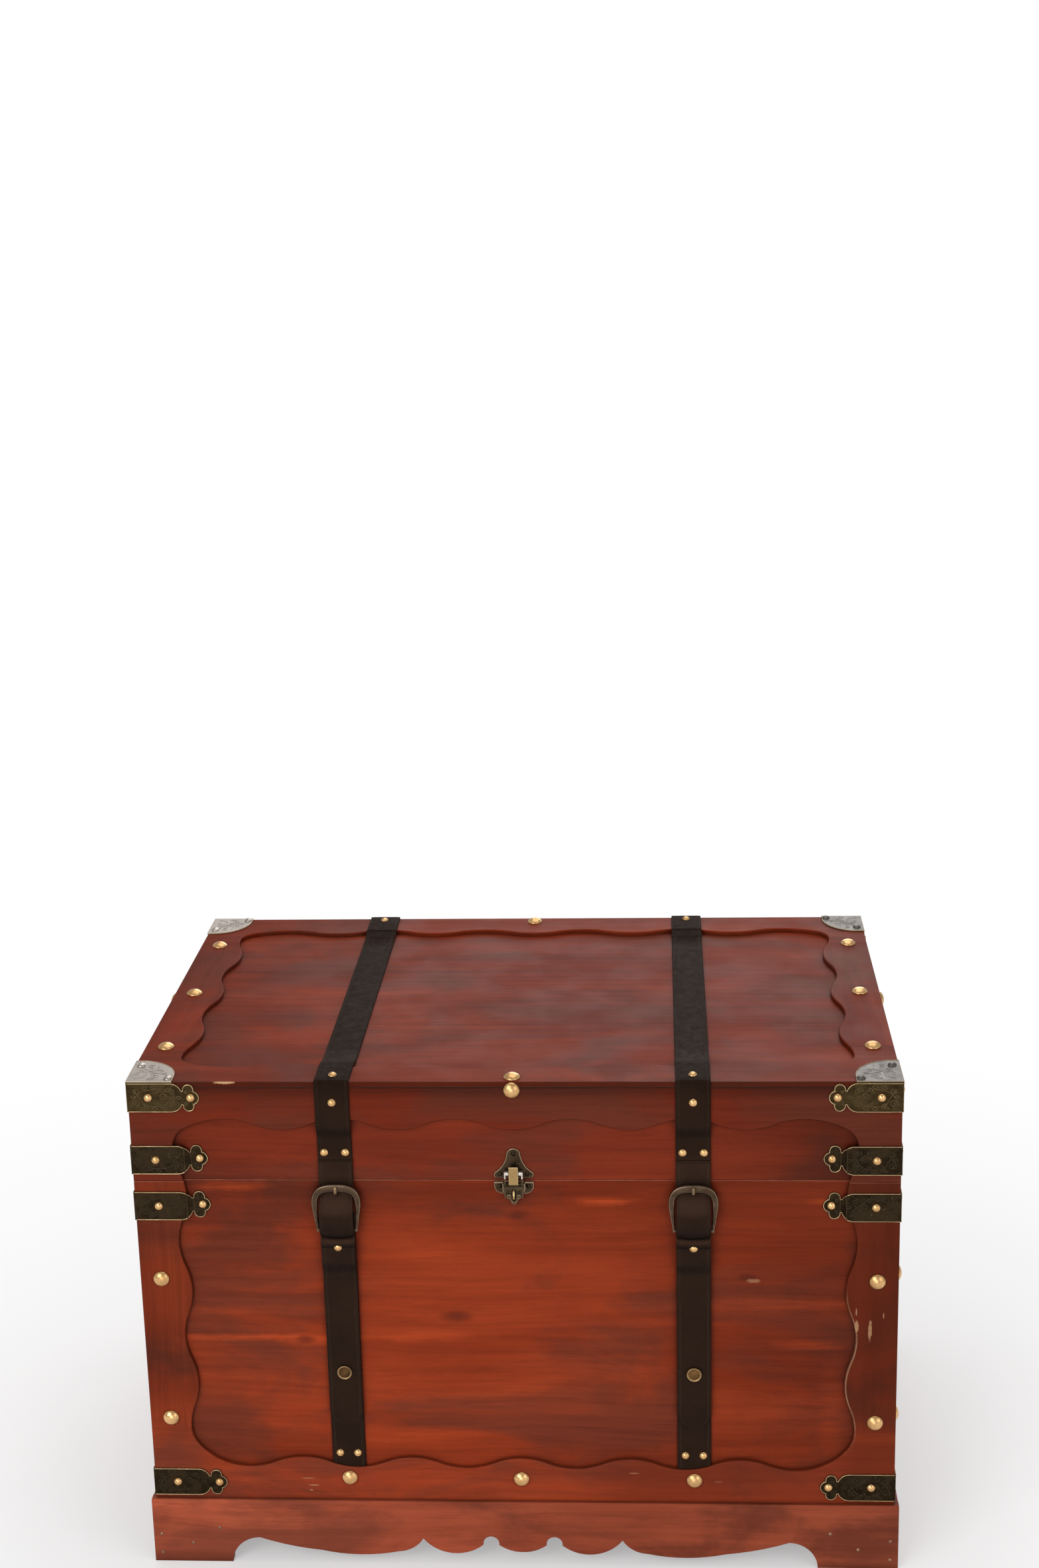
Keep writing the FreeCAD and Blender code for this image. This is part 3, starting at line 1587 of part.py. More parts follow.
outer = s.knuckle_half + s.knuckle_gap
body_leaves = []
lid_leaves = []
hinge_pins = []
body_screws = []
lid_screws = []
for side in (-1, 1):
    middle = side * (half_width - s.hinge_inset)
    body_leaves.append(
        leaf(
            middle,
            lid_line - s.hinge_rise,
            lid_line,
            lid_line - s.knuckle_web,
            lid_line,
            ((-s.hinge_half, -outer), (outer, s.hinge_half)),
        )
    )
    lid_leaves.append(
        leaf(
            middle,
            lid_bottom,
            lid_bottom + s.hinge_rise,
            lid_bottom,
            lid_bottom + s.knuckle_web,
            ((-s.knuckle_half, s.knuckle_half),),
        )
    )
    hinge_pins.append(
        Part.makeCylinder(
            s.hinge_pin, 2 * s.hinge_half, Vector(middle - s.hinge_half, hinge_y, hinge_z), Vector(1, 0, 0)
        )
    )
    for across in (s.hinge_screw_in - s.hinge_half, 0, s.hinge_half - s.hinge_screw_in):
        y = panel_y + s.hinge_metal
        body_screws.append(
            head(
                s.screw_radius,
                s.screw_rise,
                (middle + across, y, lid_line - s.hinge_rise + s.hinge_screw_in),
                AXES["back"],
            )
        )
        lid_screws.append(
            head(
                s.screw_radius,
                s.screw_rise,
                (middle + across, y, lid_bottom + s.hinge_rise - s.hinge_screw_in),
                AXES["back"],
            )
        )
solids("hinge_body_leaves", body_leaves)
solids("hinge_lid_leaves", lid_leaves)
solids("hinge_pins", hinge_pins)

# Side handles: two plates with eyes on each end, and a leather-covered bail
axis_z = lid_line - s.handle_drop
axis_x = panel_x + s.handle_eye_out
mounts = []
for side in (-1, 1):
    for end in (-1, 1):
        middle = end * s.handle_eye_place
        x0, x1 = sorted((side * panel_x, side * (panel_x + s.handle_plate_metal)))
        plate = block(
            x0,
            x1,
            middle - s.handle_plate_half,
            middle + s.handle_plate_half,
            axis_z - s.handle_plate_rise,
            axis_z + s.handle_plate_rise,
        )
        x0, x1 = sorted((side * panel_x, side * axis_x))
        stem = block(
            x0,
            x1,
            middle - s.handle_eye_half,
            middle + s.handle_eye_half,
            axis_z - s.handle_eye_radius,
            axis_z + s.handle_eye_radius,
        )
        start = Vector(side * axis_x, middle - s.handle_eye_half, axis_z)
        eye = Part.makeCylinder(s.handle_eye_radius, 2 * s.handle_eye_half, start, Vector(0, 1, 0))
        bore = Part.makeCylinder(s.handle_pin + s.handle_fit, 2 * s.handle_eye_half, start, Vector(0, 1, 0))
        mounts.append(plate.fuse(stem).fuse(eye).cut(bore).removeSplitter())
        for up in (-s.handle_plate_screw, s.handle_plate_screw):
            face = "left" if side < 0 else "right"
            body_screws.append(
                head(
                    s.screw_radius,
                    s.screw_rise,
                    on_face(face, middle, axis_z + up, s.handle_plate_metal - s.face_board),
                    AXES[face],
                )
            )
solids("handle_mounts", mounts)


def bail():
    """The right-hand bail, hanging straight down from its eyes."""
    shoulder = s.handle_shoulder
    bend = s.handle_bend
    arm = s.handle_start + shoulder
    root_half = math.sqrt(0.5)

    def at(y, z):
        return Vector(axis_x, y, axis_z + z)

    edges = []
    for side in (-1, 1):
        elbow = at(side * (s.handle_start + shoulder * root_half), shoulder * root_half - shoulder)
        knee = at(side * (arm - bend + bend * root_half), bend - s.handle_fall - bend * root_half)
        piece = [
            Part.Arc(at(side * s.handle_start, 0), elbow, at(side * arm, -shoulder)).toShape(),
            Part.LineSegment(at(side * arm, -shoulder), at(side * arm, bend - s.handle_fall)).toShape(),
            Part.Arc(
                at(side * arm, bend - s.handle_fall), knee, at(side * (arm - bend), -s.handle_fall)
            ).toShape(),
        ]
        edges.append(piece)
    bottom = Part.LineSegment(at(bend - arm, -s.handle_fall), at(arm - bend, -s.handle_fall)).toShape()
    path = Part.Wire(edges[0] + [bottom] + edges[1][::-1])
    ring = Part.Wire(Part.makeCircle(s.handle_radius, at(-s.handle_start, 0), Vector(0, 1, 0)))
    shape = path.makePipeShell([ring], True, False)
    length = s.handle_start - s.handle_pin_end
    for start in (-s.handle_start, s.handle_pin_end):
        shape = shape.fuse(Part.makeCylinder(s.handle_pin, length, at(start, 0), Vector(0, 1, 0)))
    return shape.removeSplitter()


handle = doc.addObject("Part::Feature", "handle")
handle.Shape = bail()
two_sides("handle", handle)

# Screws of the latch plates join those of the hinges and the handles
LID_SCREW_SHARES = ((0.0, 0.17), (0.69, 0.86), (-0.69, 0.86))
BODY_SCREW_SHARES = ((0.74, 0.22), (-0.74, 0.22))
for across, down in LID_SCREW_SHARES:
    at = (s.latch_half * across, -panel_y - s.latch_metal, plate_top - s.latch_plate_rise * down)
    lid_screws.append(head(s.screw_radius, s.screw_rise, at, AXES["front"]))
for across, down in BODY_SCREW_SHARES:
    at = (s.latch_half * across, -panel_y - s.latch_metal, body_plate_top - s.latch_plate_drop * down)
    body_screws.append(head(s.screw_radius, s.screw_rise, at, AXES["front"]))
solids("body_screws", body_screws)
solids("lid_screws", lid_screws)

# Final checks, then one file for each node
doc.recompute()
for thing in doc.Objects:
    if "Invalid" in thing.State or "Error" in thing.State:
        raise RuntimeError("%s failed: %s" % (thing.Label, thing.State))
for label, thing in NODES.items():
    if thing.Shape.isNull() or not thing.Shape.isValid() or not thing.Shape.Solids:
        raise RuntimeError(label + " has no valid solid")
os.makedirs("parts", exist_ok=True)
for label, thing in NODES.items():
    thing.Shape.exportStep("parts/%s.step" % label)
    print(label, len(thing.Shape.Solids), round(thing.Shape.Volume))
print(len(NODES), "nodes")
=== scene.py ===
"""Wooden trunk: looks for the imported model, with leather, metal ornament, materials, light and camera."""
from math import atan2, copysign, cos, hypot, pi, radians, sin, sqrt, tau

import bmesh
import bpy
from mathutils import Matrix, Vector


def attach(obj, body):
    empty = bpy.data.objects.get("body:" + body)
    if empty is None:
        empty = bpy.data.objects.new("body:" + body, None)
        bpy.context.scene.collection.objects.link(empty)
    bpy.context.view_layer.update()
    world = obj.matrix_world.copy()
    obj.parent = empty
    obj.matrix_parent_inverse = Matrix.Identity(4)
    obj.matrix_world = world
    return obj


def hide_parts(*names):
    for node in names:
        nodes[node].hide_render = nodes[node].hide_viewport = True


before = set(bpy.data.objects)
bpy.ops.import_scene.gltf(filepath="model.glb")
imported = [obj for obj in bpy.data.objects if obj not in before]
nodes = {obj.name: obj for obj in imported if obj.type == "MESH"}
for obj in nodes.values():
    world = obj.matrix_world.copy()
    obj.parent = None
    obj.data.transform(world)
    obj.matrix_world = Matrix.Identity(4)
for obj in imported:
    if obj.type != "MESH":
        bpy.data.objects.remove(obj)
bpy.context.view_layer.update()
scene = bpy.context.scene
scene.view_settings.view_transform = "Standard"

# Sizes in metres, as in the solids
MM = 0.001
HALF_X = 0.4
HALF_Y = 0.26
TOP = 0.564
WALL = 0.0195
BOARD = 0.005
PANEL_Y = HALF_Y - BOARD
LID_LINE = 0.452
LID_LOW = 0.4526
METAL = 0.0012
LEATHER = 0.0026
STRAP = 0.036
STRAP_X = 0.1865
BAR_Z = 0.3995
BAR_RADIUS = 0.0016
SIDES = {"right": 1, "left": -1}


# Camera at the photograph's viewing angle, its frame 2366 pixels high
CAMERA_AT = (0.1528, -2.4936, 1.5024)
CAMERA_PITCH = radians(15.5)
CAMERA_YAW = radians(3.5)
CAMERA_ROLL = radians(-1.4)
SENSOR = 36.0
FOCAL_PIXELS = 3535.0
FRAME_PIXELS = 2366.0


def set_camera():
    look = Matrix(((1, 0, 0), (0, 0, -1), (0, 1, 0)))
    nod = Matrix.Rotation(CAMERA_ROLL, 3, "Z") @ Matrix.Rotation(CAMERA_PITCH, 3, "X")
    rows = nod @ look @ Matrix.Rotation(-CAMERA_YAW, 3, "Z")
    axes = Matrix((rows[0], -rows[1], -rows[2])).transposed()
    data = bpy.data.cameras.new("camera")
    data.sensor_width = SENSOR
    data.lens = SENSOR * FOCAL_PIXELS / FRAME_PIXELS
    camera = bpy.data.objects.new("camera", data)
    camera.matrix_world = Matrix.Translation(CAMERA_AT) @ axes.to_4x4()
    scene.collection.objects.link(camera)
    scene.camera = camera


set_camera()


# Material graphs
materials = {}


class Tree:
    """A node tree, with short names for the nodes that it uses."""

    def __init__(self, tree):
        self.tree = tree

    def add(self, kind, inputs=None, **settings):
        node = self.tree.nodes.new("ShaderNode" + kind)
        for key, value in settings.items():
            setattr(node, key, value)
        for key, value in (inputs or {}).items():
            self.feed(node.inputs[key], value)
        return node

    def feed(self, socket, value):
        if isinstance(value, bpy.types.NodeSocket):
            self.tree.links.new(value, socket)
        else:
            socket.default_value = value

    def math(self, operation, a, b=0.0, c=0.0):
        return self.add("Math", {0: a, 1: b, 2: c}, operation=operation).outputs[0]

    def times(self, product, *others):
        for other in others:
            product = self.math("MULTIPLY", product, other)
        return product

    def steps(self, value, low, high, start=0.0, end=1.0):
        """Smooth step of a value from low to high."""
        node = self.add("MapRange", {0: value, 1: low, 2: high, 3: start, 4: end})
        node.interpolation_type = "SMOOTHSTEP"
        return node.outputs[0]


class Graph(Tree):
    """One node material."""

    def __init__(self, name):
        self.material = bpy.data.materials.new(name)
        materials[name] = self.material
        self.material.use_nodes = True
        super().__init__(self.material.node_tree)
        self.shader = self.tree.nodes["Principled BSDF"]
        coordinates = self.add("TexCoord").outputs
        self.place = coordinates["Object"]
        self.upward = self.add("SeparateXYZ", {0: coordinates["Normal"]}).outputs[2]
        self.x, self.y, self.z = self.add("SeparateXYZ", {0: self.place}).outputs

    def stretched(self, scale, shift=(0, 0, 0)):
        return self.add("Mapping", {0: self.place, 1: shift, 3: scale}).outputs[0]

    def noise(self, vector, scale=1.0, detail=2.0, rough=0.5, warp=0.0):
        node = self.add("TexNoise", {"Vector": vector, "Scale": scale, "Detail": detail})
        node.inputs["Roughness"].default_value = rough
        node.inputs["Distortion"].default_value = warp
        return node.outputs[0]

    def mix(self, share, a, b, blend="MIX"):
        node = self.add("Mix", data_type="RGBA", blend_type=blend)
        self.feed(node.inputs[0], share)
        for socket, value in ((node.inputs[6], a), (node.inputs[7], b)):
            self.feed(socket, value if isinstance(value, bpy.types.NodeSocket) else tuple(value) + (1.0,))
        return node.outputs[2]

    def blend(self, share, a, b):
        node = self.add("Mix", data_type="FLOAT")
        for socket, value in zip((node.inputs[0], node.inputs[2], node.inputs[3]), (share, a, b)):
            self.feed(socket, value)
        return node.outputs[0]

    def shaded(self, colour, shade):
        grey = self.add("CombineColor", {0: shade, 1: shade, 2: shade}).outputs[0]
        return self.mix(1.0, colour, grey, "MULTIPLY")

    def reach(self, at, half, axes="xz"):
        """Distance from a place, one on the ellipse with the given half axes."""
        parts = []
        for axis, middle, most in zip(axes, at, half):
            part = self.math("DIVIDE", self.math("SUBTRACT", getattr(self, axis), middle), most)
            parts.append(self.math("POWER", part, 2.0))
        return self.math("SQRT", self.math("ADD", *parts))

    def within(self, *tests):
        """High where all tests hold, each as (axis, operation, limit), a capital axis without its sign."""
        masks = []
        for axis, operation, limit in tests:
            value = getattr(self, axis.lower())
            value = self.math("ABSOLUTE", value) if axis.isupper() else value
            masks.append(self.math(operation, value, limit))
        return self.times(*masks)

    def worn_edge(self, radius, low, high):
        """A mask that is high on edges sharper than the given radius allows."""
        soft = self.add("Bevel", {"Radius": radius}, samples=4).outputs[0]
        true = self.add("NewGeometry").outputs["True Normal"]
        dot = self.add("VectorMath", {0: soft, 1: true}, operation="DOT_PRODUCT").outputs["Value"]
        return self.steps(dot, low, high)

    def crevice(self, distance):
        node = self.add("AmbientOcclusion", {"Distance": distance}, samples=6)
        return node.outputs["AO"]

    def soft_bump(self, height, strength, distance, radius):
        soft = self.add("Bevel", {"Radius": radius}, samples=4).outputs[0]
        inputs = {"Height": height, "Strength": strength, "Distance": distance, "Normal": soft}
        return self.add("Bump", inputs).outputs[0]

    def finish(self, colour, rough, normal=None, **sockets):
        self.feed(self.shader.inputs["Base Color"], colour)
        self.feed(self.shader.inputs["Roughness"], rough)
        if normal is not None:
            self.feed(self.shader.inputs["Normal"], normal)
        for name, value in sockets.items():
            self.shader.inputs[name.replace("_", " ")].default_value = value


def along(axis, run, across):
    """A scale that stretches a pattern along one axis."""
    return tuple(run if name == axis else across for name in "xyz")


# Tones of open joints, rubbed edges, the painted highlight on the lip between chest and lid, smoky patches,
# raw wood inside and marks, with painted shade for the low rail and the lid's top front edge
DARK_GAP = (0.022, 0.006, 0.004)
WORN = (0.38, 0.15, 0.075)
LIP_HIGHLIGHT = (0.3, 0.09, 0.055)
SMOKE = (0.088, 0.022, 0.0125)
INSIDE = ((0.15, 0.058, 0.028), (0.27, 0.115, 0.055), (0.34, 0.155, 0.08))
PALE = (0.56, 0.33, 0.17)
TAUPE = (0.36, 0.18, 0.1)
ORANGE = (0.46, 0.062, 0.014)
BARE = (0.62, 0.38, 0.22)
KNOT = (0.06, 0.011, 0.006)
RAIL_SHADE = (0.115, 0.019, 0.008)
DIM_STILE = (0.07, 0.0095, 0.003)
LID_EDGE_SHADE = (0.04, 0.008, 0.004)
WOOD_SHEEN = (1.0, 0.55, 0.42, 1.0)


# Where things lie: at the front, on inner faces and under the lid's top, between the rails of the lid's face
# boards, on the lid's corner plates, on the lip of the latch's upper plate, and on the yoke's ends
BELOW = "LESS_THAN"
ABOVE = "GREATER_THAN"
TOP_RAIL = 0.163
FRONT = (("y", BELOW, -0.2),)
INNER = (("z", BELOW, TOP - WALL), ("X", BELOW, HALF_X - WALL), ("Y", BELOW, HALF_Y - WALL))
TOP_ENDS = (("Y", BELOW, TOP_RAIL),)
ON_PLATE = (("z", ABOVE, 0.5643), ("X", ABOVE, 0.33), ("Y", ABOVE, 0.19))
ON_LIP = (("y", BELOW, -0.2618), ("z", ABOVE, 0.449), ("X", BELOW, 0.0062))
ON_HORNS = (("z", ABOVE, 0.457),)


def tinted(colour, factor):
    return tuple(factor * c for c in colour)


def wood(name, grain, dark, mid, light, shift=(0, 0, 0), second=None, upright=1.0, flame=0.5, marks=None,
         painted_falloff=None, under=None, lines=(), gloss=0.1, sides=None):
    """Stained wood with streaks along its grain.

    second is (axis, builder of two masks) for boards across, which upright shades. painted_falloff is
    (middle, half size, painted shade far from it), under the height of an edge below which a painted shadow
    darkens the wood, and sides the places between which painted light across the front changes and the
    painted shades at its left and right.
    """
    g = Graph(name)

    def streaks(axis):
        stretch = g.stretched(along(axis, 2.0, 7.0), shift)
        sway = g.add("TexNoise", {"Vector": stretch, "Scale": 1.0}).outputs["Color"]
        wave = g.add("VectorMath", {0: sway, 1: along(axis, 0.0, 0.045)}, operation="MULTIPLY")
        bent = g.add("VectorMath", {0: g.place, 1: wave.outputs[0]}, operation="ADD").outputs[0]

        def grain_noise(run, across, detail, rough):
            vector = g.add("Mapping", {0: bent, 1: shift, 3: along(axis, run, across)}).outputs[0]
            return g.noise(vector, 1.0, detail, rough)

        broad = grain_noise(1.3, 16.0, 4.0, 0.55)
        fine = grain_noise(3.5, 130.0, 4.0, 0.6)
        return broad, fine, grain_noise(16.0, 700.0, 2.0, 0.5), grain_noise(70.0, 1100.0, 1.0, 0.5)

    bands = streaks(grain)
    if second:
        turned, shaded = second[1](g)
        bands = [g.blend(turned, a, b) for a, b in zip(bands, streaks(second[0]))]
    broad, fine, fibre, pores = bands
    cloud = g.noise(g.stretched(along(grain, 3.2, 6.5), shift), 1.0, 5.0, 0.6)
    colour = g.mix(g.steps(broad, 0.26, 0.6), dark, mid)
    colour = g.mix(g.times(g.steps(broad, 0.54, 0.74), flame), colour, light)
    colour = g.mix(g.times(g.steps(cloud, 0.52, 0.3), 0.6), colour, dark)
    colour = g.mix(g.times(g.steps(cloud, 0.52, 0.7), flame * 0.7), colour, light)
    smoke = g.noise(g.stretched(along(grain, 4.5, 8.0), shift), 1.0, 5.0, 0.6, 0.7)
    colour = g.mix(g.times(g.steps(smoke, 0.43, 0.63), 0.68), colour, SMOKE)
    raw = g.mix(g.steps(broad, 0.3, 0.66), INSIDE[0], INSIDE[2])
    colour = g.mix(g.within(*INNER), colour, raw)
    shade = g.times(g.steps(fine, 0.32, 0.64, 0.88, 1.08), g.steps(fibre, 0.28, 0.52, 0.92, 1.03))
    # Painted shade in crevices and round parts, from ambient occlusion
    crevice_shade = g.steps(g.crevice(0.014), 0.25, 0.95, 0.4, 1.0)
    shade = g.times(shade, g.steps(pores, 0.3, 0.38, 0.9, 1.0), crevice_shade)
    if second:
        shade = g.times(shade, g.blend(shaded, 1.0, upright))
    # Painted shadow below an overhanging edge
    if under:
        shade = g.times(shade, g.steps(g.z, under - 0.022, under, 1.0, 0.5))
    # Painted light across the front: brighter at the left, darker at the right
    if sides:
        shade = g.times(shade, g.blend(g.within(*FRONT), 1.0, g.steps(g.x, *sides)))
    # Painted shade that grows away from a middle place
    if painted_falloff:
        middle, half, least = painted_falloff
        shade = g.times(shade, g.steps(g.reach(middle, half), 0.35, 1.25, 1.06, least))
    colour = g.shaded(colour, shade)
    patchy = g.steps(g.noise(g.place, 38.0, 3.0, 0.6), 0.36, 0.66)
    for axis, at, width, tone in lines:
        gap = g.math("ABSOLUTE", g.math("SUBTRACT", g.math("ABSOLUTE", getattr(g, axis)), at))
        mask = g.times(g.steps(gap, width, width * 0.4), g.math("MULTIPLY_ADD", patchy, 0.4, 0.5))
        colour = g.mix(mask, colour, tone)
    edge = g.worn_edge(0.0011, 0.985, 0.9)
    colour = g.mix(g.times(patchy, 0.2, edge), colour, WORN)
    if marks:
        colour = marks(g, colour)
    rough = g.steps(g.noise(g.place, 14.0, 3.0, 0.6), 0.3, 0.7, 0.4, 0.54)
    normal = g.soft_bump(g.math("ADD", fibre, fine), 0.12, 0.0005, 0.0007)
    g.finish(colour, rough, normal, Coat_Weight=gloss * 0.3, Coat_Roughness=0.2, Specular_IOR_Level=gloss,
             Specular_Tint=WOOD_SHEEN)


def spot(g, at, half, soft=0.35, ragged=0.5, scale=160.0):
    """A ragged elliptical mask, one in its middle."""
    rough = g.times(g.math("SUBTRACT", g.noise(g.place, scale, 3.0, 0.7), 0.5), ragged * 2)
    return g.steps(g.math("ADD", g.reach(at, half), rough), 1.0 + soft, 1.0 - soft)


# Knots as (x, z, half height), and flames and chips as (place, half size, strength or tone)
KNOTS = ((-0.228, 0.266, 0.0045), (-0.065, 0.294, 0.0065), (0.003, 0.412, 0.005), (0.243, 0.341, 0.004))
FLAMES = (
    ((-0.28, 0.268), (0.085, 0.0035), 0.55), ((-0.215, 0.266), (0.03, 0.006), 0.45),
    ((-0.11, 0.27), (0.06, 0.006), 0.4), ((-0.29, 0.298), (0.06, 0.007), 0.2),
    ((0.095, 0.428), (0.024, 0.0045), 0.6), ((-0.3, 0.445), (0.03, 0.0045), 0.4),
    ((0.33, 0.428), (0.02, 0.0035), 0.3), ((0.255, 0.309), (0.06, 0.009), 0.25),
    ((0.306, 0.262), (0.03, 0.0045), 0.3), ((-0.095, 0.368), (0.05, 0.01), 0.25),
    ((0.332, 0.18), (0.012, 0.05), 0.15), ((-0.13, 0.15), (0.06, 0.01), 0.3),
)
SCRATCH = ((0.249, 0.337), (0.006, 0.0022))


def panel_marks(g, colour):
    """Orange licks, knots and one pale scratch on the chest's front panel."""
    front = g.within(*FRONT)
    licks = g.steps(g.noise(g.stretched(along("x", 14.0, 260.0)), 1.0, 4.0, 0.65), 0.34, 0.62, 0.45, 1.15)
    for at, half, share in FLAMES:
        mask = g.times(spot(g, at, half, 0.85, 0.6, 46.0), licks, share, front)
        colour = g.mix(mask, colour, ORANGE)
    for x, z, size in KNOTS:
        mask = spot(g, (x, z), (size * 2.1, size), 0.7, 0.3, 90.0)
        colour = g.mix(g.times(mask, 0.6, front), colour, KNOT)
    mask = spot(g, *SCRATCH, 0.5, 0.6)
    return g.mix(g.times(mask, 0.28, front), colour, PALE)


# Chips of the face boards, the painted shade on the low rail, and the darker and rubbed parts of them
CHIPS = (
    ((0.371, 0.283), (0.0018, 0.011), PALE), ((0.357, 0.287), (0.002, 0.0065), PALE),
    ((0.3565, 0.304), (0.0007, 0.0045), PALE), ((0.385, 0.3), (0.0006, 0.003), PALE),
    ((-0.232, 0.101), (0.008, 0.0005), TAUPE), ((-0.226, 0.0925), (0.005, 0.0009), TAUPE),
    ((-0.229, 0.0865), (0.002, 0.0008), TAUPE), ((0.122, 0.1105), (0.005, 0.0008), TAUPE),
    ((0.212, 0.101), (0.004, 0.0006), TAUPE),
)
LOW_RAIL_SHADE = ((0.235, 0.105), (0.15, 0.035))
RIGHT_STILE = (0.325, 0.365)
RUBBED = ((0.345, 0.235), (0.03, 0.07))
LID_CHIP = ((-0.298, 0.5636), (0.01, 0.0016))
LID_EDGE_Y = -0.2585


def frame_marks(g, colour):
    """Chips on the chest's front boards, with painted shade on the right of the low rail, a darker right
    stile and a rubbed scallop.
    """
    front = g.within(*FRONT)
    for at, half, tone in CHIPS:
        mask = spot(g, at, half, 0.25, 0.75, 420.0)
        colour = g.mix(g.times(mask, 0.75, front), colour, tone)
    # Painted shade on the right of the low rail
    rail = spot(g, *LOW_RAIL_SHADE, 0.8, 0.15, 20.0)
    colour = g.mix(g.times(rail, front, 0.5), colour, RAIL_SHADE)
    stile = g.steps(g.x, *RIGHT_STILE)
    colour = g.mix(g.times(stile, front, 0.42), colour, DIM_STILE)
    wear_and_highlight = g.times(spot(g, *RUBBED, 0.5, 0.4, 60.0), g.worn_edge(0.0014, 0.99, 0.93), front)
    return g.mix(g.times(wear_and_highlight, 0.85), colour, BARE)


def chip_mark(g, colour):
    """Painted shade on the front edge, with one chip, of the lid's top boards."""
    mask = spot(g, *LID_CHIP, 0.3, 0.6, 300.0)
    # Painted shade on the front face of the top boards
    edge = g.math("LESS_THAN", g.y, LID_EDGE_Y)
    colour = g.mix(g.times(edge, 0.75), colour, LID_EDGE_SHADE)
    return g.mix(g.times(mask, 0.85, edge), colour, PALE)


LOW_RAIL_TOP = 0.162


def stiles(axis, inner):
    """A builder of two masks of a chest face's upright boards: sharp for the grain, soft for the shade."""

    def masks(g):
        across = g.math("ABSOLUTE", getattr(g, axis))
        sharp = g.times(g.math(ABOVE, across, inner), g.math(ABOVE, g.z, LOW_RAIL_TOP))
        soft = g.times(g.steps(across, inner - 0.03, inner + 0.015), g.steps(g.z, 0.1, 0.23))
        return sharp, soft

    return masks


def top_ends(g):
    """Both masks of the lid's face boards across its ends."""
    mask = g.within(*TOP_ENDS)
    return mask, mask


# Wood tones, each as its dark, middle and light one
PANEL = ((0.17, 0.02, 0.005), (0.24, 0.0315, 0.0088), (0.32, 0.049, 0.0145))
LID = ((0.112, 0.014, 0.005), (0.175, 0.023, 0.0077), (0.238, 0.036, 0.012))
LID_RAIL = ((0.085, 0.01, 0.0035), (0.13, 0.015, 0.0045), (0.175, 0.021, 0.006))
FRAME = ((0.18, 0.023, 0.007), (0.265, 0.037, 0.0108), (0.34, 0.053, 0.016))
PLINTH = ((0.165, 0.032, 0.015), (0.27, 0.056, 0.026), (0.35, 0.078, 0.037))

# Painted shade away from the middle of the chest's front and of the lid's front
FRONT_FALLOFF_SHADE = ((-0.08, 0.24), (0.44, 0.24), 0.58)
LID_FALLOFF_SHADE = ((-0.05, 0.51), (0.4, 0.6), 0.36)
# A painted highlight along the lip between chest and lid
LIP_HIGHLIGHT_LINE = ("z", 0.4518, 0.0008, LIP_HIGHLIGHT)
STILE_X = 0.333
STILE_Y = 0.193
wood("panel_x", "x", *PANEL, flame=0.5, marks=panel_marks, painted_falloff=FRONT_FALLOFF_SHADE, lines=(LIP_HIGHLIGHT_LINE,))
wood("panel_y", "y", *PANEL, shift=(0.3, 1.7, 0.4))
wood("lid_x", "x", *LID, shift=(2.1, 0, 0.7), flame=0.35, painted_falloff=LID_FALLOFF_SHADE)
wood("lid_y", "y", *LID, shift=(2.1, 3, 0.7), flame=0.35)
wood("lid_top", "x", *LID, shift=(0.2, 5, 0.7), flame=0.6, gloss=0.03,
     lines=(("y", 0.085, 0.0007, DARK_GAP),))
wood("frame_x", "x", *FRAME, shift=(0.9, 2, 1.3), second=("z", stiles("x", STILE_X)), upright=0.47, flame=0.4,
     marks=frame_marks, lines=(LIP_HIGHLIGHT_LINE,), sides=(0.02, 0.16, 1.28, 1.0))
wood("frame_y", "y", *FRAME, shift=(0.9, 4, 1.3), second=("z", stiles("y", STILE_Y)), upright=0.52, flame=0.4)
wood("lid_frame_x", "x", *LID_RAIL, shift=(3.9, 2, 1.3), flame=0.3, under=0.558,
     lines=(("z", 0.5578, 0.0019, DARK_GAP),))
wood("lid_frame_y", "y", *LID_RAIL, shift=(3.9, 4, 1.3), flame=0.3)
wood("top_frame", "x", *LID, shift=(1.9, 6, 1.3), second=("y", top_ends), flame=0.5, marks=chip_mark,
     lines=(("y", TOP_RAIL, 0.0006, DARK_GAP),), gloss=0.03)
wood("apron_x", "x", *PLINTH, shift=(5.9, 2, 1.3), flame=0.5, sides=(-0.14, 0.12, 1.48, 0.96))
wood("apron_y", "y", *PLINTH, shift=(5.9, 4, 1.3), flame=0.5)
wood("inner", "z", *INSIDE, shift=(7.9, 4, 1.3), flame=0.4)


HIGHLIGHT_BELOW = 0.45
LEATHER_SHEEN = (1.0, 0.55, 0.36, 1.0)


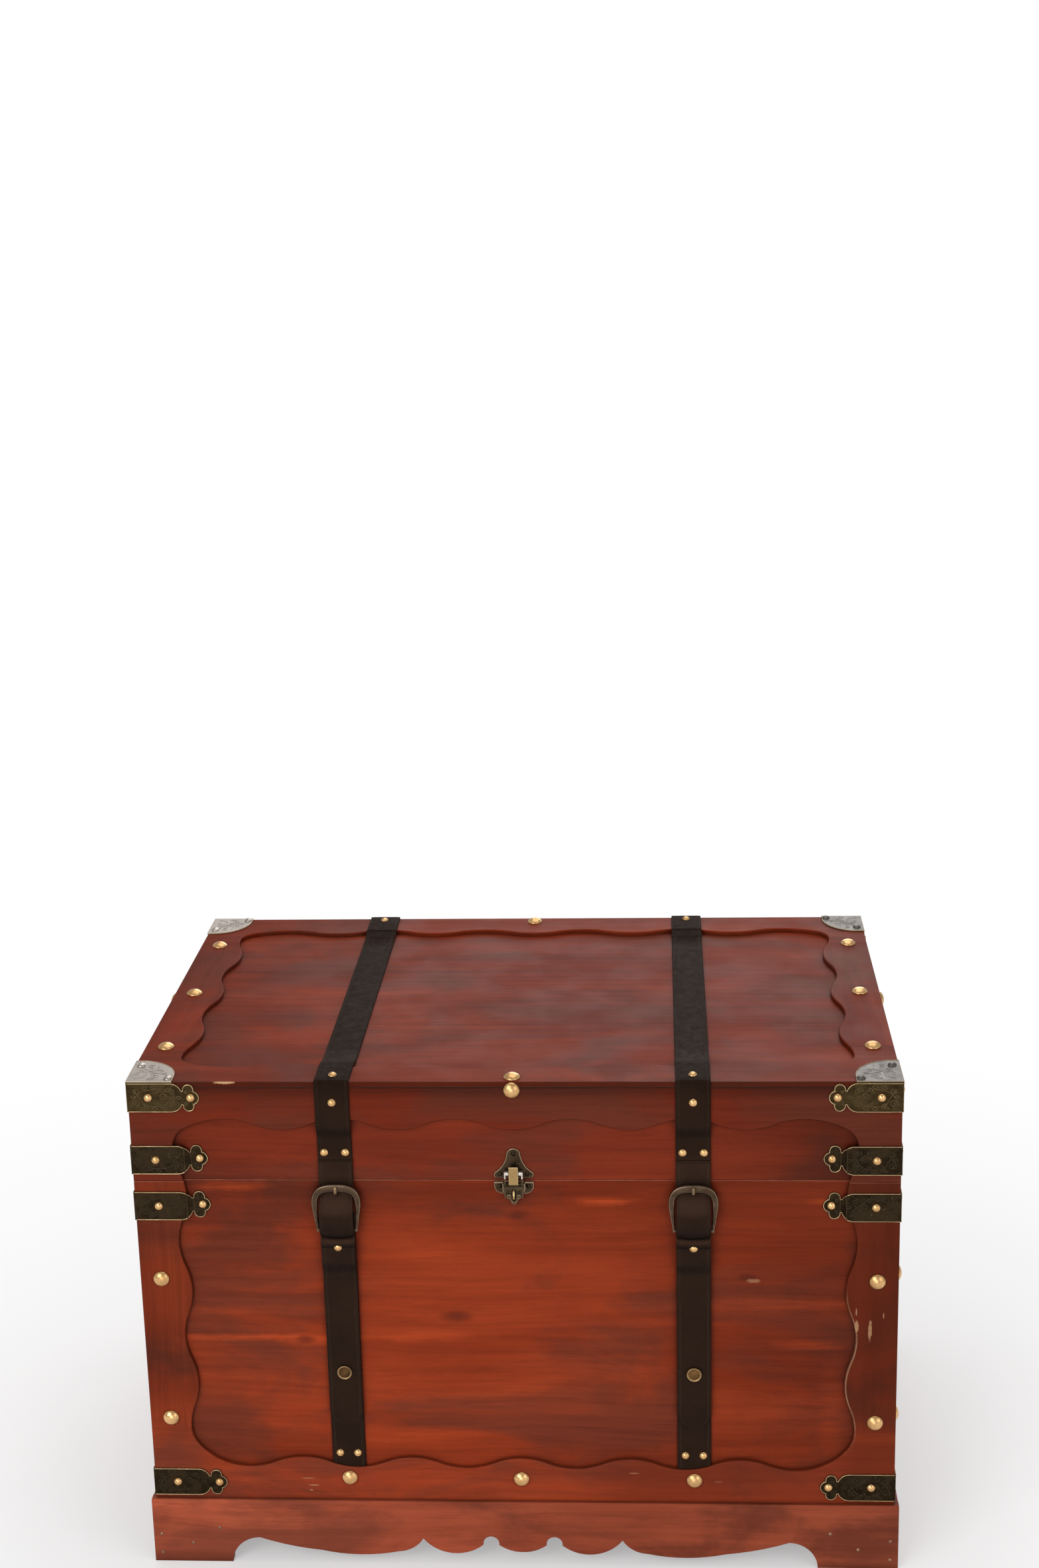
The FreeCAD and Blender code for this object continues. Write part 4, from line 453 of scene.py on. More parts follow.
def leather(name, base, worn):
    """Dark leather with painted light: a painted reflection makes it palest at its bend, painted shade
    darkens it in crevices and where it looks down, and a painted highlight lightens it where it looks up on
    the chest.
    """
    g = Graph(name)
    pebble = g.add("TexVoronoi", {"Vector": g.place, "Scale": 1400.0}, feature="DISTANCE_TO_EDGE").outputs[0]
    crease = g.noise(g.place, 120.0, 6.0, 0.7, 0.8)
    cloud = g.noise(g.place, 22.0, 3.0, 0.6)
    colour = g.mix(g.steps(cloud, 0.3, 0.7), base, tinted(base, 1.5))
    edge = g.worn_edge(0.0009, 0.98, 0.86)
    colour = g.mix(g.times(edge, 0.55), colour, worn)
    # Painted shade in crevices, darker on the lid, a painted reflection that makes the band above the bend
    # palest, and painted shade where the leather looks down
    shade = g.times(
        g.steps(g.crevice(0.012), 0.1, 0.9, 0.45, 1.0),
        g.steps(g.z, 0.468, 0.486, 1.0, 0.55),
        g.steps(g.z, 0.45, 0.458, 1.0, 1.5),
        g.steps(g.upward, -0.55, 0.0, 0.18, 1.0),
    )
    # A painted highlight where the leather looks up, below the lid
    wear_and_highlight = g.times(g.steps(g.upward, 0.12, 0.7, 0.0, 0.8), g.math(BELOW, g.z, HIGHLIGHT_BELOW))
    colour = g.shaded(g.mix(wear_and_highlight, colour, tinted(base, 4.5)), shade)
    height = g.math("ADD", g.times(g.steps(pebble, 0.0, 0.12), 0.4), crease)
    rough = g.math("ADD", g.steps(crease, 0.3, 0.7, 0.44, 0.62), g.steps(g.z, 0.54, 0.566, 0.0, 0.3))
    g.finish(colour, rough, g.soft_bump(height, 0.3, 0.0004, 0.0005), Specular_IOR_Level=0.16,
             Specular_Tint=LEATHER_SHEEN)


leather("strap_leather", (0.0088, 0.0046, 0.003), (0.055, 0.036, 0.025))
leather("thread", (0.03, 0.018, 0.012), (0.07, 0.048, 0.034))

GOLD = (0.72, 0.53, 0.27)
SILVER = (0.52, 0.46, 0.41)
PLATED = {
    "cap_bronze": (SILVER, ON_PLATE),
    "latch_plate": ((0.36, 0.235, 0.098), ON_LIP),
    "yoke_metal": ((0.74, 0.68, 0.6), ON_HORNS),
    "nail_gold": (SILVER, ON_PLATE),
    "engraved_cap": ((0.24, 0.21, 0.18), ON_PLATE),
}


def metal(name, dull, bright, patina, edge_share, radius, rough_low, rough_high):
    """Aged metal: dull in its field, bright on its edges, with a mottled patina and painted shade in its
    crevices, and plated in part.
    """
    g = Graph(name)
    cloud = g.noise(g.place, 55.0, 5.0, 0.65, 0.7)
    speck = g.noise(g.place, 420.0, 2.0, 0.6)
    colour = g.mix(g.steps(cloud, 0.35, 0.65), dull, patina)
    colour = g.mix(g.times(g.steps(speck, 0.62, 0.78), 0.12), colour, bright)
    if name in PLATED:
        plated, where = PLATED[name]
        # The plating's tone: mottled, and darker towards the right
        plated_tone = g.mix(g.steps(cloud, 0.35, 0.7), plated, tinted(plated, 0.72))
        plated_tone = g.mix(g.steps(g.x, 0.1, 0.3), plated_tone, tinted(plated, 0.26))
        colour = g.mix(g.within(*where), colour, plated_tone)
    edge = g.worn_edge(radius, 0.985, 0.88)
    colour = g.mix(g.times(edge, edge_share), colour, bright)
    # Painted shade in crevices, from ambient occlusion
    colour = g.shaded(colour, g.steps(g.crevice(0.005), 0.1, 0.9, 0.4, 1.0))
    rough = g.steps(g.math("ADD", cloud, g.times(speck, 0.3)), 0.4, 0.8, rough_low, rough_high)
    normal = g.soft_bump(g.math("ADD", cloud, g.times(speck, 0.4)), 0.22, 0.0005, radius)
    g.finish(colour, rough, normal, Metallic=1.0)


# Metals as (name, dull, bright and patina tones, share and radius of the bright edges, roughness from and to)
for row in (
    ("plate_bronze", (0.0175, 0.0115, 0.006), GOLD, (0.04, 0.026, 0.013), 0.5, 0.0004, 0.36, 0.54),
    ("cap_bronze", (0.032, 0.02, 0.008), GOLD, (0.062, 0.041, 0.017), 0.9, 0.001, 0.32, 0.5),
    ("latch_plate", (0.04, 0.026, 0.014), (0.86, 0.62, 0.38), (0.072, 0.047, 0.027), 1.0, 0.0014, 0.32, 0.5),
    ("latch_screw", (0.022, 0.014, 0.008), (0.3, 0.21, 0.12), (0.05, 0.033, 0.019), 0.6, 0.0004, 0.34, 0.5),
    ("latch_lever", (0.052, 0.034, 0.018), (0.84, 0.62, 0.38), (0.095, 0.064, 0.034), 1.0, 0.0007, 0.3, 0.46),
    ("latch_gold", (0.62, 0.44, 0.2), (0.98, 0.84, 0.6), (0.46, 0.31, 0.13), 1.0, 0.0005, 0.2, 0.36),
    ("yoke_metal", (0.05, 0.033, 0.018), (0.6, 0.44, 0.28), (0.09, 0.061, 0.034), 0.6, 0.0005, 0.3, 0.46),
    ("hinge_brass", (0.16, 0.11, 0.05), GOLD, (0.26, 0.18, 0.09), 0.9, 0.0005, 0.28, 0.46),
    ("handle_iron", (0.05, 0.036, 0.022), (0.42, 0.32, 0.2), (0.09, 0.064, 0.038), 0.6, 0.0005, 0.3, 0.48),
    ("buckle_metal", (0.058, 0.036, 0.022), (0.74, 0.56, 0.4), (0.1, 0.064, 0.04), 0.9, 0.0006, 0.26, 0.42),
    ("prong_metal", (0.17, 0.108, 0.06), (0.6, 0.45, 0.29), (0.25, 0.165, 0.093), 0.6, 0.0006, 0.26, 0.42),
    ("nail_gold", (0.78, 0.48, 0.215), (0.98, 0.78, 0.5), (0.56, 0.32, 0.13), 0.3, 0.0004, 0.15, 0.32),
    ("stud_brass", (0.17, 0.09, 0.032), (0.9, 0.6, 0.3), (0.06, 0.031, 0.013), 0.9, 0.001, 0.24, 0.42),
    ("line_brass", (0.62, 0.44, 0.23), (0.85, 0.68, 0.42), (0.34, 0.23, 0.12), 0.3, 0.0002, 0.3, 0.45),
    ("engraved", (0.085, 0.064, 0.04), (0.26, 0.2, 0.13), (0.03, 0.021, 0.013), 0.3, 0.0002, 0.34, 0.5),
    ("engraved_cap", (0.2, 0.145, 0.07), GOLD, (0.08, 0.056, 0.026), 0.3, 0.0002, 0.32, 0.5),
    ("pin_steel", (0.34, 0.19, 0.12), (0.5, 0.36, 0.26), (0.22, 0.12, 0.075), 0.3, 0.0003, 0.4, 0.55),
):
    metal(*row)

# Materials of the boards, by node
BOARDS = {
    "lid_top_panel": "lid_top",
    "lid_top_frame": "top_frame",
    "plinth_front_apron": "apron_x",
    "plinth_back_apron": "apron_x",
    "plinth_side_aprons": "apron_y",
    "body_floor": "inner",
    "plinth_corner_blocks": "inner",
}
for side, axis in (("front", "x"), ("back", "x"), ("left", "y"), ("right", "y")):
    BOARDS["body_%s_panel" % side] = "panel_" + axis
    BOARDS["lid_%s_panel" % side] = "lid_" + axis
    BOARDS["body_%s_frame" % side] = "frame_" + axis
    BOARDS["lid_%s_frame" % side] = "lid_frame_" + axis

# Fittings, by the first of these words in a node's name
FITTINGS = (
    ("corner_caps", "cap_bronze"),
    ("brackets", "plate_bronze"),
    ("nails", "nail_gold"),
    ("studs", "nail_gold"),
    ("rivets", "nail_gold"),
    ("plinth_pins", "pin_steel"),
    ("strap", "strap_leather"),
    ("tongue", "strap_leather"),
    ("buckle", "buckle_metal"),
    ("prong", "prong_metal"),
    ("handle", "handle_iron"),
    ("screws", "latch_screw"),
    ("lever", "latch_lever"),
    ("staple", "latch_gold"),
    ("yoke", "yoke_metal"),
    ("latch", "latch_plate"),
    ("", "hinge_brass"),
)


def dress():
    """The material of each node that keeps its solid."""
    for name, node in nodes.items():
        key = BOARDS.get(name) or next(key for word, key in FITTINGS if word in name)
        node.data.materials.clear()
        node.data.materials.append(materials[key])


dress()


# Mesh helpers
def piece(name, points, faces, material, body, node=None, sharp=40):
    """One visual piece in the row frame, riding a body and standing for a node where one is named."""
    mesh = bpy.data.meshes.new(name)
    mesh.from_pydata([tuple(p) for p in points], [], faces)
    mesh.shade_smooth()
    mesh.set_sharp_from_angle(angle=radians(sharp))
    mesh.materials.append(materials[material])
    made = bpy.data.objects.new(name, mesh)
    scene.collection.objects.link(made)
    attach(made, body)
    if node:
        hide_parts(*([node] if isinstance(node, str) else node))
    return made


def join(parts):
    """Several (points, faces) as one."""
    points, faces = [], []
    for more_points, more_faces in parts:
        start = len(points)
        points += more_points
        faces += [[start + i for i in face] for face in more_faces]
    return points, faces


def outward(points, faces):
    """The faces of a closed form, turned to look out of it."""
    start = Vector(points[0])
    volume = 0.0
    for face in faces:
        first, *others = [Vector(points[i]) - start for i in face]
        volume += sum(first.dot(a.cross(b)) for a, b in zip(others, others[1:]))
    return faces if volume > 0 else [face[::-1] for face in faces]


def loft(rings):
    """A closed form from rings of as many points each."""
    count = len(rings[0])
    points = [p for ring in rings for p in ring]
    faces = []
    for i in range(len(rings) - 1):
        a, b = i * count, (i + 1) * count
        for j in range(count):
            k = (j + 1) % count
            faces.append([a + j, a + k, b + k, b + j])
    faces.append(list(range(count))[::-1])
    faces.append([len(points) - count + j for j in range(count)])
    return points, outward(points, faces)


def arc_points(a, b, c, steps):
    """Points on the circle arc from a through b to c, in two dimensions."""
    ax, ay, bx, by, cx, cy = *a, *b, *c
    d = 2 * (ax * (by - cy) + bx * (cy - ay) + cx * (ay - by))
    sa, sb, sc = ax * ax + ay * ay, bx * bx + by * by, cx * cx + cy * cy
    ux = (sa * (by - cy) + sb * (cy - ay) + sc * (ay - by)) / d
    uy = (sa * (cx - bx) + sb * (ax - cx) + sc * (bx - ax)) / d
    radius = hypot(ax - ux, ay - uy)
    start = atan2(ay - uy, ax - ux)
    middle = (atan2(by - uy, bx - ux) - start) % tau
    sweep = (atan2(cy - uy, cx - ux) - start) % tau
    if middle > sweep:
        sweep -= tau
    turns = [start + sweep * i / steps for i in range(steps + 1)]
    return [(ux + radius * cos(t), uy + radius * sin(t)) for t in turns]


def smooth(points, steps=6):
    """A Catmull-Rom curve through points of any dimension."""
    ends = [points[0]] + list(points) + [points[-1]]
    found = []
    for p0, p1, p2, p3 in zip(ends, ends[1:], ends[2:], ends[3:]):
        for i in range(steps):
            t = i / steps
            at = []
            for a, b, c, d in zip(p0, p1, p2, p3):
                value = 2 * b + (c - a) * t
                value += (2 * a - 5 * b + 4 * c - d) * t * t
                value += (3 * b - a - 3 * c + d) * t ** 3
                at.append(value / 2)
            found.append(tuple(at))
    return found + [tuple(points[-1])]


def circle(count, offset=0.0):
    """Cosine and sine of each corner of a round section."""
    turns = [tau * (i + offset) / count for i in range(count)]
    return [(cos(turn), sin(turn)) for turn in turns]


def wire(path, radius, sides=6, flat=1.0, out=None):
    """A thin raised line along a path in space; flat squeezes it along the direction out."""
    path = [Vector(p) for p in path]
    rings = []
    for i, at in enumerate(path):
        run = (path[min(i + 1, len(path) - 1)] - path[max(i - 1, 0)]).normalized()
        up = Vector(out) if out else Vector((0, 0, 1))
        side = run.cross(up)
        if side.length < 1e-4:
            side = run.orthogonal()
        side.normalize()
        up = side.cross(run)
        size = radius[i] if isinstance(radius, list) else radius
        rings.append([at + side * c * size + up * s * size * flat for c, s in circle(sides, 0.5)])
    return loft(rings)


# Leather straps with rounded edges and a pressed line along each edge
EDGE = ((0.0, 0.0), (0.0, 0.45), (0.25, 0.82), (0.9, 1.0), (2.3, 1.0), (2.8, 0.84), (3.3, 1.0), (7.0, 1.0),
        (11.0, 1.0), (15.0, 1.0))
UNDER = (14.0, 10.0, 6.0, 2.0, -2.0, -6.0, -10.0, -14.0)
HALF_STRAP = STRAP / 2
PIVOT_DROP = 89.9
BAR_DROP = 164.5
REST_OUT = 3.0
BULGE = 0.0012
BULGE_AT = 0.412
BULGE_HALF = 0.032
SAG = 0.0018
SAG_TOP = 0.404
SAG_LOW = 0.379
ROUND_FROM = -0.35


def section():
    """Rounded section of the leather, as (across, share of thickness)."""
    left = [(u * MM - HALF_STRAP, v) for u, v in EDGE]
    return left + [(-u, v) for u, v in left[::-1]] + [(u * MM, 0.0) for u in UNDER]


def stations(path, rise=LEATHER):
    """Inner points of a strap with the step to its outer face, rounded round convex corners."""
    runs = []
    for (y0, z0), (y1, z1) in zip(path, path[1:]):
        reach = hypot(y1 - y0, z1 - z0)
        runs.append(((y1 - y0) / reach, (z1 - z0) / reach))
    found = []
    for i, (y, z) in enumerate(path):
        a = runs[max(i - 1, 0)]
        b = runs[min(i, len(runs) - 1)]
        turn = atan2(a[0] * b[1] - a[1] * b[0], a[0] * b[0] + a[1] * b[1])
        first = atan2(a[1], a[0]) + pi / 2
        if turn < ROUND_FROM:
            for k in range(7):
                at = first + turn * k / 6
                found.append((y, z, rise * cos(at), rise * sin(at)))
        else:
            at = first + turn / 2
            grow = rise / cos(turn / 2)
            found.append((y, z, grow * cos(at), grow * sin(at)))
    return found


def crown(u, z):
    """How far the leather of the swell bulges forward and sags, for a place across it and a height."""
    across = 1 - (u / HALF_STRAP) ** 2
    bulge = max(0.0, 1 - ((z - BULGE_AT) / BULGE_HALF) ** 2)
    sag = min(max((SAG_TOP - z) / 0.01, 0.0), 1.0) * min(max((z - SAG_LOW) / 0.008, 0.0), 1.0)
    return BULGE * bulge * across, SAG * sag * across


def band(middle, path, tip=0.0, rise=LEATHER, crowned=False):
    """A strap along a path in the y-z plane; tip is the length of a rounded end at its start."""
    rows = stations(path, rise)
    rings = []
    for y, z, out_y, out_z in rows:
        gone = hypot(y - rows[0][0], z - rows[0][1])
        shrink = max(sqrt(1 - (1 - gone / tip) ** 2), 0.05) if gone < tip else 1.0
        ring = []
        for u, v in section():
            bulge, sag = crown(u, z) if crowned else (0.0, 0.0)
            ring.append(Vector((middle + u * shrink, y + out_y * v - bulge, z + out_z * v - sag)))
        rings.append(ring)
    return loft(rings)


def front(out, drop):
    """A point before the front panels, by its distance from them and its depth below the lid's top, in mm."""
    return (-PANEL_Y - out * MM, TOP - drop * MM)


def ease(a, b, steps=8):
    """Points of a soft step between two points of a path."""
    found = []
    for i in range(1, steps):
        t = i / steps
        bend = t * t * (3 - 2 * t)
        found.append((a[0] + (b[0] - a[0]) * bend, a[1] + (b[1] - a[1]) * t))
    return [a] + found + [b]


def even(a, b, steps):
    """Points in equal steps from one point to just before another."""
    return [(a[0] + (b[0] - a[0]) * i / steps, a[1] + (b[1] - a[1]) * i / steps) for i in range(steps)]


SEAM = 0.0138
STITCH = 0.0027
STITCH_STEP = 0.0044
THREAD = 0.0003
STITCH_ARCH = ((0.0, -0.0002), (0.25, 0.00012), (0.75, 0.00012), (1.0, -0.0002))


def stitches(middle, path, across, start, end=None):
    """Short threads in a row on a strap's outer face, from one length along its path to another."""
    rows = [(y + out_y, z + out_z, out_y, out_z) for y, z, out_y, out_z in stations(path)]
    lengths = [0.0]
    for a, b in zip(rows, rows[1:]):
        lengths.append(lengths[-1] + hypot(b[0] - a[0], b[1] - a[1]))
    end = lengths[-1] - start if end is None else end

    def at(gone, lift):
        i = max(k for k, reach in enumerate(lengths[:-1]) if reach <= gone)
        run = lengths[i + 1] - lengths[i]
        share = (gone - lengths[i]) / run if run > 1e-9 else 0.0
        y, z, out_y, out_z = (a + (b - a) * share for a, b in zip(rows[i], rows[i + 1]))
        rise = hypot(out_y, out_z)
        return (middle + across, y + out_y / rise * lift, z + out_z / rise * lift)

    parts = []
    for i in range(int((end - start) / STITCH_STEP)):
        gone = start + i * STITCH_STEP
        parts.append(wire([at(gone + share * STITCH, lift) for share, lift in STITCH_ARCH], THREAD, 5))
    return join(parts)


# The swinging strap's inner face, from behind the bar up to its bend, as (distance out, drop)
SWELL = ((5.2, 170.4), (7.6, 170.3), (9.8, 168.9), (11.6, 166.6), (12.9, 163.6), (13.9, 159.6), (14.5, 155.0),
         (14.4, 149.6), (13.2, 144.6), (10.9, 140.0), (8.2, 135.4), (5.6, 130.6), (3.7, 124.5), (2.4, 117.5),
         (1.4, 109.0), (0.8, 100.0), (0.6, 91.0))
# The rolled top end of the tongue, and the prong from the arch down to the bar behind the strap
ROLL = ((8.2, 187.0), (8.5, 184.4), (9.4, 182.2), (10.2, 180.6), (10.2, 179.0), (9.3, 177.3), (7.8, 175.9),
        (6.0, 175.2))
PRONG = ((12.0, 114.6), (12.7, 116.8), (12.7, 120.0), (11.7, 122.6), (9.4, 124.6), (6.6, 126.4), (4.4, 129.5),
         (3.5, 136.0), (3.5, 145.0), (4.0, 153.0), (6.0, 159.5), (8.4, 162.0))
TIP_DROP = 397
TIP_STEPS = (0.05, 0.6, 1.5, 3, 5, 8, 12, 16)
FOLD_OUT = 9.9
FOLD_RADIUS = 0.0017
FOLD_STEPS = 16
TAIL = 33.4
RAIL = 0.0475
SLOPE = 0.018


def strap_paths():
    """Inner paths of the lid strap, swinging strap and its tail, tongue and its fold, and base strap.

    They run with the outer face on their left, seen with y to the right and z up.
    """
    rail = HALF_Y - RAIL
    under = TOP - BOARD
    lid = [(-PANEL_Y, 0.476)] + ease((-PANEL_Y, 0.4985), (-HALF_Y, 0.5165))
    lid += even((-HALF_Y, TOP), (-rail, TOP), 4) + ease((-rail, TOP), (-rail + SLOPE, under))
    lid += even((-rail + SLOPE, under), (rail - SLOPE, under), 12)[1:]
    lid += ease((rail - SLOPE, under), (rail, TOP)) + [(HALF_Y, TOP), (HALF_Y, 0.526)]
    swing = smooth([front(*at) for at in SWELL], 5)
    tail = [front(REST_OUT, BAR_DROP + TAIL), front(REST_OUT, BAR_DROP - 5)]
    tongue = [front(REST_OUT, TIP_DROP - gone) for gone in TIP_STEPS]
    tongue += even(front(REST_OUT, 375), front(REST_OUT, 218.5), 12)
    tongue += ease(front(REST_OUT, 218.5), front(8.2, 200.5), 6)
    tongue += smooth([front(*at) for at in ROLL], 4)
    centre = front(FOLD_OUT, BAR_DROP)
    fold = [front(11.6, BAR_DROP + 3)]
    for i in range(FOLD_STEPS + 1):
        turn = pi * (1 - i / FOLD_STEPS)
        fold.append((centre[0] + FOLD_RADIUS * cos(turn), centre[1] + FOLD_RADIUS * sin(turn)))
    fold.append(front(8.2, BAR_DROP + TAIL))
    base = [(-PANEL_Y, 0.1145)] + even((-PANEL_Y, 0.118), (-PANEL_Y, 0.411), 10) + [(-PANEL_Y, 0.414)]
    return lid, swing, tail, tongue, fold, base


BEND_OUT = 0.0021
BEND_RADIUS = 0.0016
TIP = 0.016


def straps():
    lid, swing, tail, tongue, fold, base = strap_paths()
    for side, sign in SIDES.items():
        middle = sign * STRAP_X
        flap = "flap_" + side
        bend = [(middle + end * HALF_STRAP, -PANEL_Y - BEND_OUT, TOP - PIVOT_DROP * MM) for end in (-1, 1)]
        swinging = join([band(middle, swing, crowned=True), band(middle, tail), wire(bend, BEND_RADIUS, 20)])
        piece("swing_strap_" + side, *swinging, "strap_leather", flap, "flap_strap_" + side)
        folded = join([band(middle, tongue, tip=TIP, crowned=True), band(middle, fold, rise=LEATHER / 4)])
        piece("strap_tongue_" + side, *folded, "strap_leather", flap, "tongue_" + side)
        rows = join([stitches(middle, tongue, across, 0.012, 0.15) for across in (-SEAM, SEAM)])
        piece("tongue_stitches_" + side, *rows, "thread", flap)
    middles = (-STRAP_X, STRAP_X)
    for name, path, body, node in (
        ("strap_over_lid", lid, "lid", "lid_straps"),
        ("strap_on_chest", base, "chest", "base_straps"),
    ):
        piece(name, *join([band(middle, path) for middle in middles]), "strap_leather", body, node)
    for name, path, body, ends in (
        ("lid_strap_stitches", lid, "lid", (0.004,)),
        ("base_strap_stitches", base, "chest", (0.004, 0.05)),
    ):
        rows = [stitches(middle, path, across, *ends) for middle in middles for across in (-SEAM, SEAM)]
        piece(name, *join(rows), "thread", body)


straps()


# Buckles: pillow-shaped horseshoes with a round bar, their section as (share of the width, of the depth)
PILLOW = ((0.0, 0.3), (0.03, 0.68), (0.12, 0.93), (0.3, 1.0), (0.7, 1.0), (0.88, 0.93), (0.97, 0.68),
          (1.0, 0.3), (0.92, 0.04), (0.5, 0.0), (0.08, 0.04))
BUCKLE_TOP = 0.451
BUCKLE_LOW = 0.3979
BUCKLE_WAIST = BUCKLE_TOP - 0.024
BUCKLE_BACK = -0.2634
BUCKLE_DEEP = 0.003
BUCKLE_HALF = 0.026
OPENING_TOP = BUCKLE_TOP - 0.0085
OPENING_HALF = 0.0198
BAR_Y = -0.2649
BAR_HALF = 0.0206
PRONG_RADIUS = 0.0019


def horseshoe(half, top, square, taper):
    """A horseshoe line with square shoulders, from one end of the bar over the arch to the other."""
    line = []
    for i in range(15):
        turn = pi / 2 * i / 14
        rise = (top - BUCKLE_WAIST) * cos(turn) ** square
        line.append((half * sin(turn) ** square, BUCKLE_WAIST + rise))
    for i in range(1, 6):
        line.append((half * (1 - taper * i / 5), BUCKLE_WAIST + (BUCKLE_LOW - BUCKLE_WAIST) * i / 5))
    return [(-x, z) for x, z in line[:0:-1]] + line


def buckles():
    outer = horseshoe(BUCKLE_HALF, BUCKLE_TOP, 0.7, 0.18)
    inner = horseshoe(OPENING_HALF, OPENING_TOP, 0.62, 0.06)
    for side, sign in SIDES.items():
        middle = sign * STRAP_X
        flap = "flap_" + side
        rings = []
        for (ox, oz), (ix, iz) in zip(outer, inner):
            ring = []
            for u, v in PILLOW:
                x = middle + ix + (ox - ix) * u
                ring.append(Vector((x, BUCKLE_BACK - BUCKLE_DEEP * v, iz + (oz - iz) * u)))
            rings.append(ring)
        bar = wire([(middle + x, BAR_Y, BAR_Z) for x in (-BAR_HALF, BAR_HALF)], BAR_RADIUS, 16)
        piece("buckle_frame_" + side, *join([loft(rings), bar]), "buckle_metal", flap, "buckle_" + side, 50)
        path = smooth([front(*at) for at in PRONG], 4)
        sizes = [PRONG_RADIUS * min(0.55 + 0.15 * i, 1.0) for i in range(len(path))]
        pin = wire([(middle, y, z) for y, z in path], sizes, 14, 0.62, (0, -1, 0.3))
        piece("prong_pin_" + side, *pin, "prong_metal", flap, "prong_" + side, 60)


buckles()


# Round heads of nails, rivets and studs, one on each solid, as (share of the radius, of the height)
DOME = ((1.0, 0.0), (1.0, 0.1), (0.97, 0.2), (0.9, 0.36), (0.78, 0.55), (0.62, 0.74), (0.42, 0.89),
        (0.2, 0.98), (0.06, 1.0))
DISC = ((1.0, 0.0), (1.0, 0.45), (0.975, 0.66), (0.93, 0.8), (0.88, 0.84), (0.83, 0.78), (0.8, 0.66),
        (0.76, 0.64), (0.5, 0.8), (0.25, 0.94), (0.06, 1.0))
SNAP_LEAST = 0.006
HEAD_SIDES = 28


def islands(node):
    """Boxes of a node's separate solids, in the order of their vertices, so that each run gives the same."""
    mesh = bmesh.new()
    mesh.from_mesh(nodes[node].data)
    bmesh.ops.remove_doubles(mesh, verts=mesh.verts, dist=1e-6)
    left = set(mesh.verts)
    found = []
    for seed in mesh.verts:
        if seed not in left:
            continue
        left.remove(seed)
        grown, queue = [], [seed]
        while queue:
            vert = queue.pop()
            grown.append(vert.co.copy())
            for edge in vert.link_edges:
                other = edge.other_vert(vert)
                if other in left:
                    left.remove(other)
                    queue.append(other)
        low = Vector([min(p[i] for p in grown) for i in range(3)])
        high = Vector([max(p[i] for p in grown) for i in range(3)])
        found.append((low, high))
    mesh.free()
    return found


def domed(node, body):
    """Domes in place of a node's nails, and stepped discs on the tongue's large studs."""
    heads, discs = [], []
    for low, high in islands(node):
        size = high - low
        axis = min(range(3), key=lambda i: size[i])
        middle = (low + high) / 2
        out = 1 if middle[axis] > 0 else -1
        base = middle.copy()
        base[axis] = low[axis] if out > 0 else high[axis]
        radius = max(size) / 2
        a, b = (i for i in range(3) if i != axis)
        flat = node.startswith("tongue") and radius > SNAP_LEAST
        rings = []
        for share, lift in DISC if flat else DOME:
            ring = []
            for c, s in circle(HEAD_SIDES):
                at = base.copy()
                at[a] += radius * share * c
                at[b] += radius * share * s
                at[axis] += out * size[axis] * lift
                ring.append(at)
            rings.append(ring)
        (discs if flat else heads).append(loft(rings))
    piece(node + "_domes", *join(heads), "nail_gold", body, node)
    if discs:
        piece(node + "_snap", *join(discs), "stud_brass", body)


for node, body in (
    ("body_bracket_nails", "chest"),
    ("body_dome_nails", "chest"),
    ("lid_bracket_nails", "lid"),
    ("lid_dome_nails", "lid"),
    ("lid_strap_rivets", "lid"),
    ("tongue_studs_right", "flap_right"),
    ("tongue_studs_left", "flap_left"),
):
    domed(node, body)


# Side handles: leather wound round the hanging bar, between metal rings, as (place along the bar, radius)
RIB = ((0.0, 0.0049), (0.0005, 0.0053), (0.0016, 0.00555), (0.0027, 0.0053))
RING = ((-0.0032, 0.0047), (-0.003, 0.0056), (-0.002, 0.0061), (0.0, 0.0058), (0.002, 0.0061),
        (0.003, 0.0056), (0.0032, 0.0047))
RIBS = 28
RIB_STEP = 0.0032
GRIP_HALF = 0.0448
RING_AT = 0.0478
HANDLE_X = 0.404
HANDLE_Z = 0.352
GRIP_SIDES = 24


def turned(profile, x):
    """A round form along a handle's bar."""
    rings = []
    for y, radius in profile:
        rings.append([Vector((x + radius * c, y, HANDLE_Z - radius * s)) for c, s in circle(GRIP_SIDES)])
    return loft(rings)


def grips():
    wound = [(-GRIP_HALF + i * RIB_STEP + y, radius) for i in range(RIBS) for y, radius in RIB]
    wound.append((GRIP_HALF, RIB[0][1]))
    for side, sign in SIDES.items():
        x = sign * HANDLE_X
        piece("handle_grip_" + side, *turned(wound, x), "strap_leather", "handle_" + side, sharp=60)
        ends = [turned([(end * RING_AT + y, radius) for y, radius in RING], x) for end in (-1, 1)]
        piece("handle_rings_" + side, *join(ends), "hinge_brass", "handle_" + side)


grips()


# Bracket leaves: bright rims and a generic engraved leaf ornament, the tip as shares of (reach, half height)
TREFOIL = {
    "shoulder": (0.618, 1.0),
    "shoulder_middle": (0.704, 0.831),
    "neck": (0.757, 0.469),
    "lobe_start": (0.778, 0.5),
    "lobe_top": (0.852, 0.9375),
    "lobe_end": (0.926, 0.475),
    "tip_middle": (0.979, 0.3),
    "tip": (1.0, 0.0),
}
LEAF_HALF = 0.016
STEP_AT = 0.055
STEP_RUN = 0.006
RIM = 0.0004
LINE = 0.00024
RIM_LIFT = 0.0001
LINE_LIFT = 0.00004


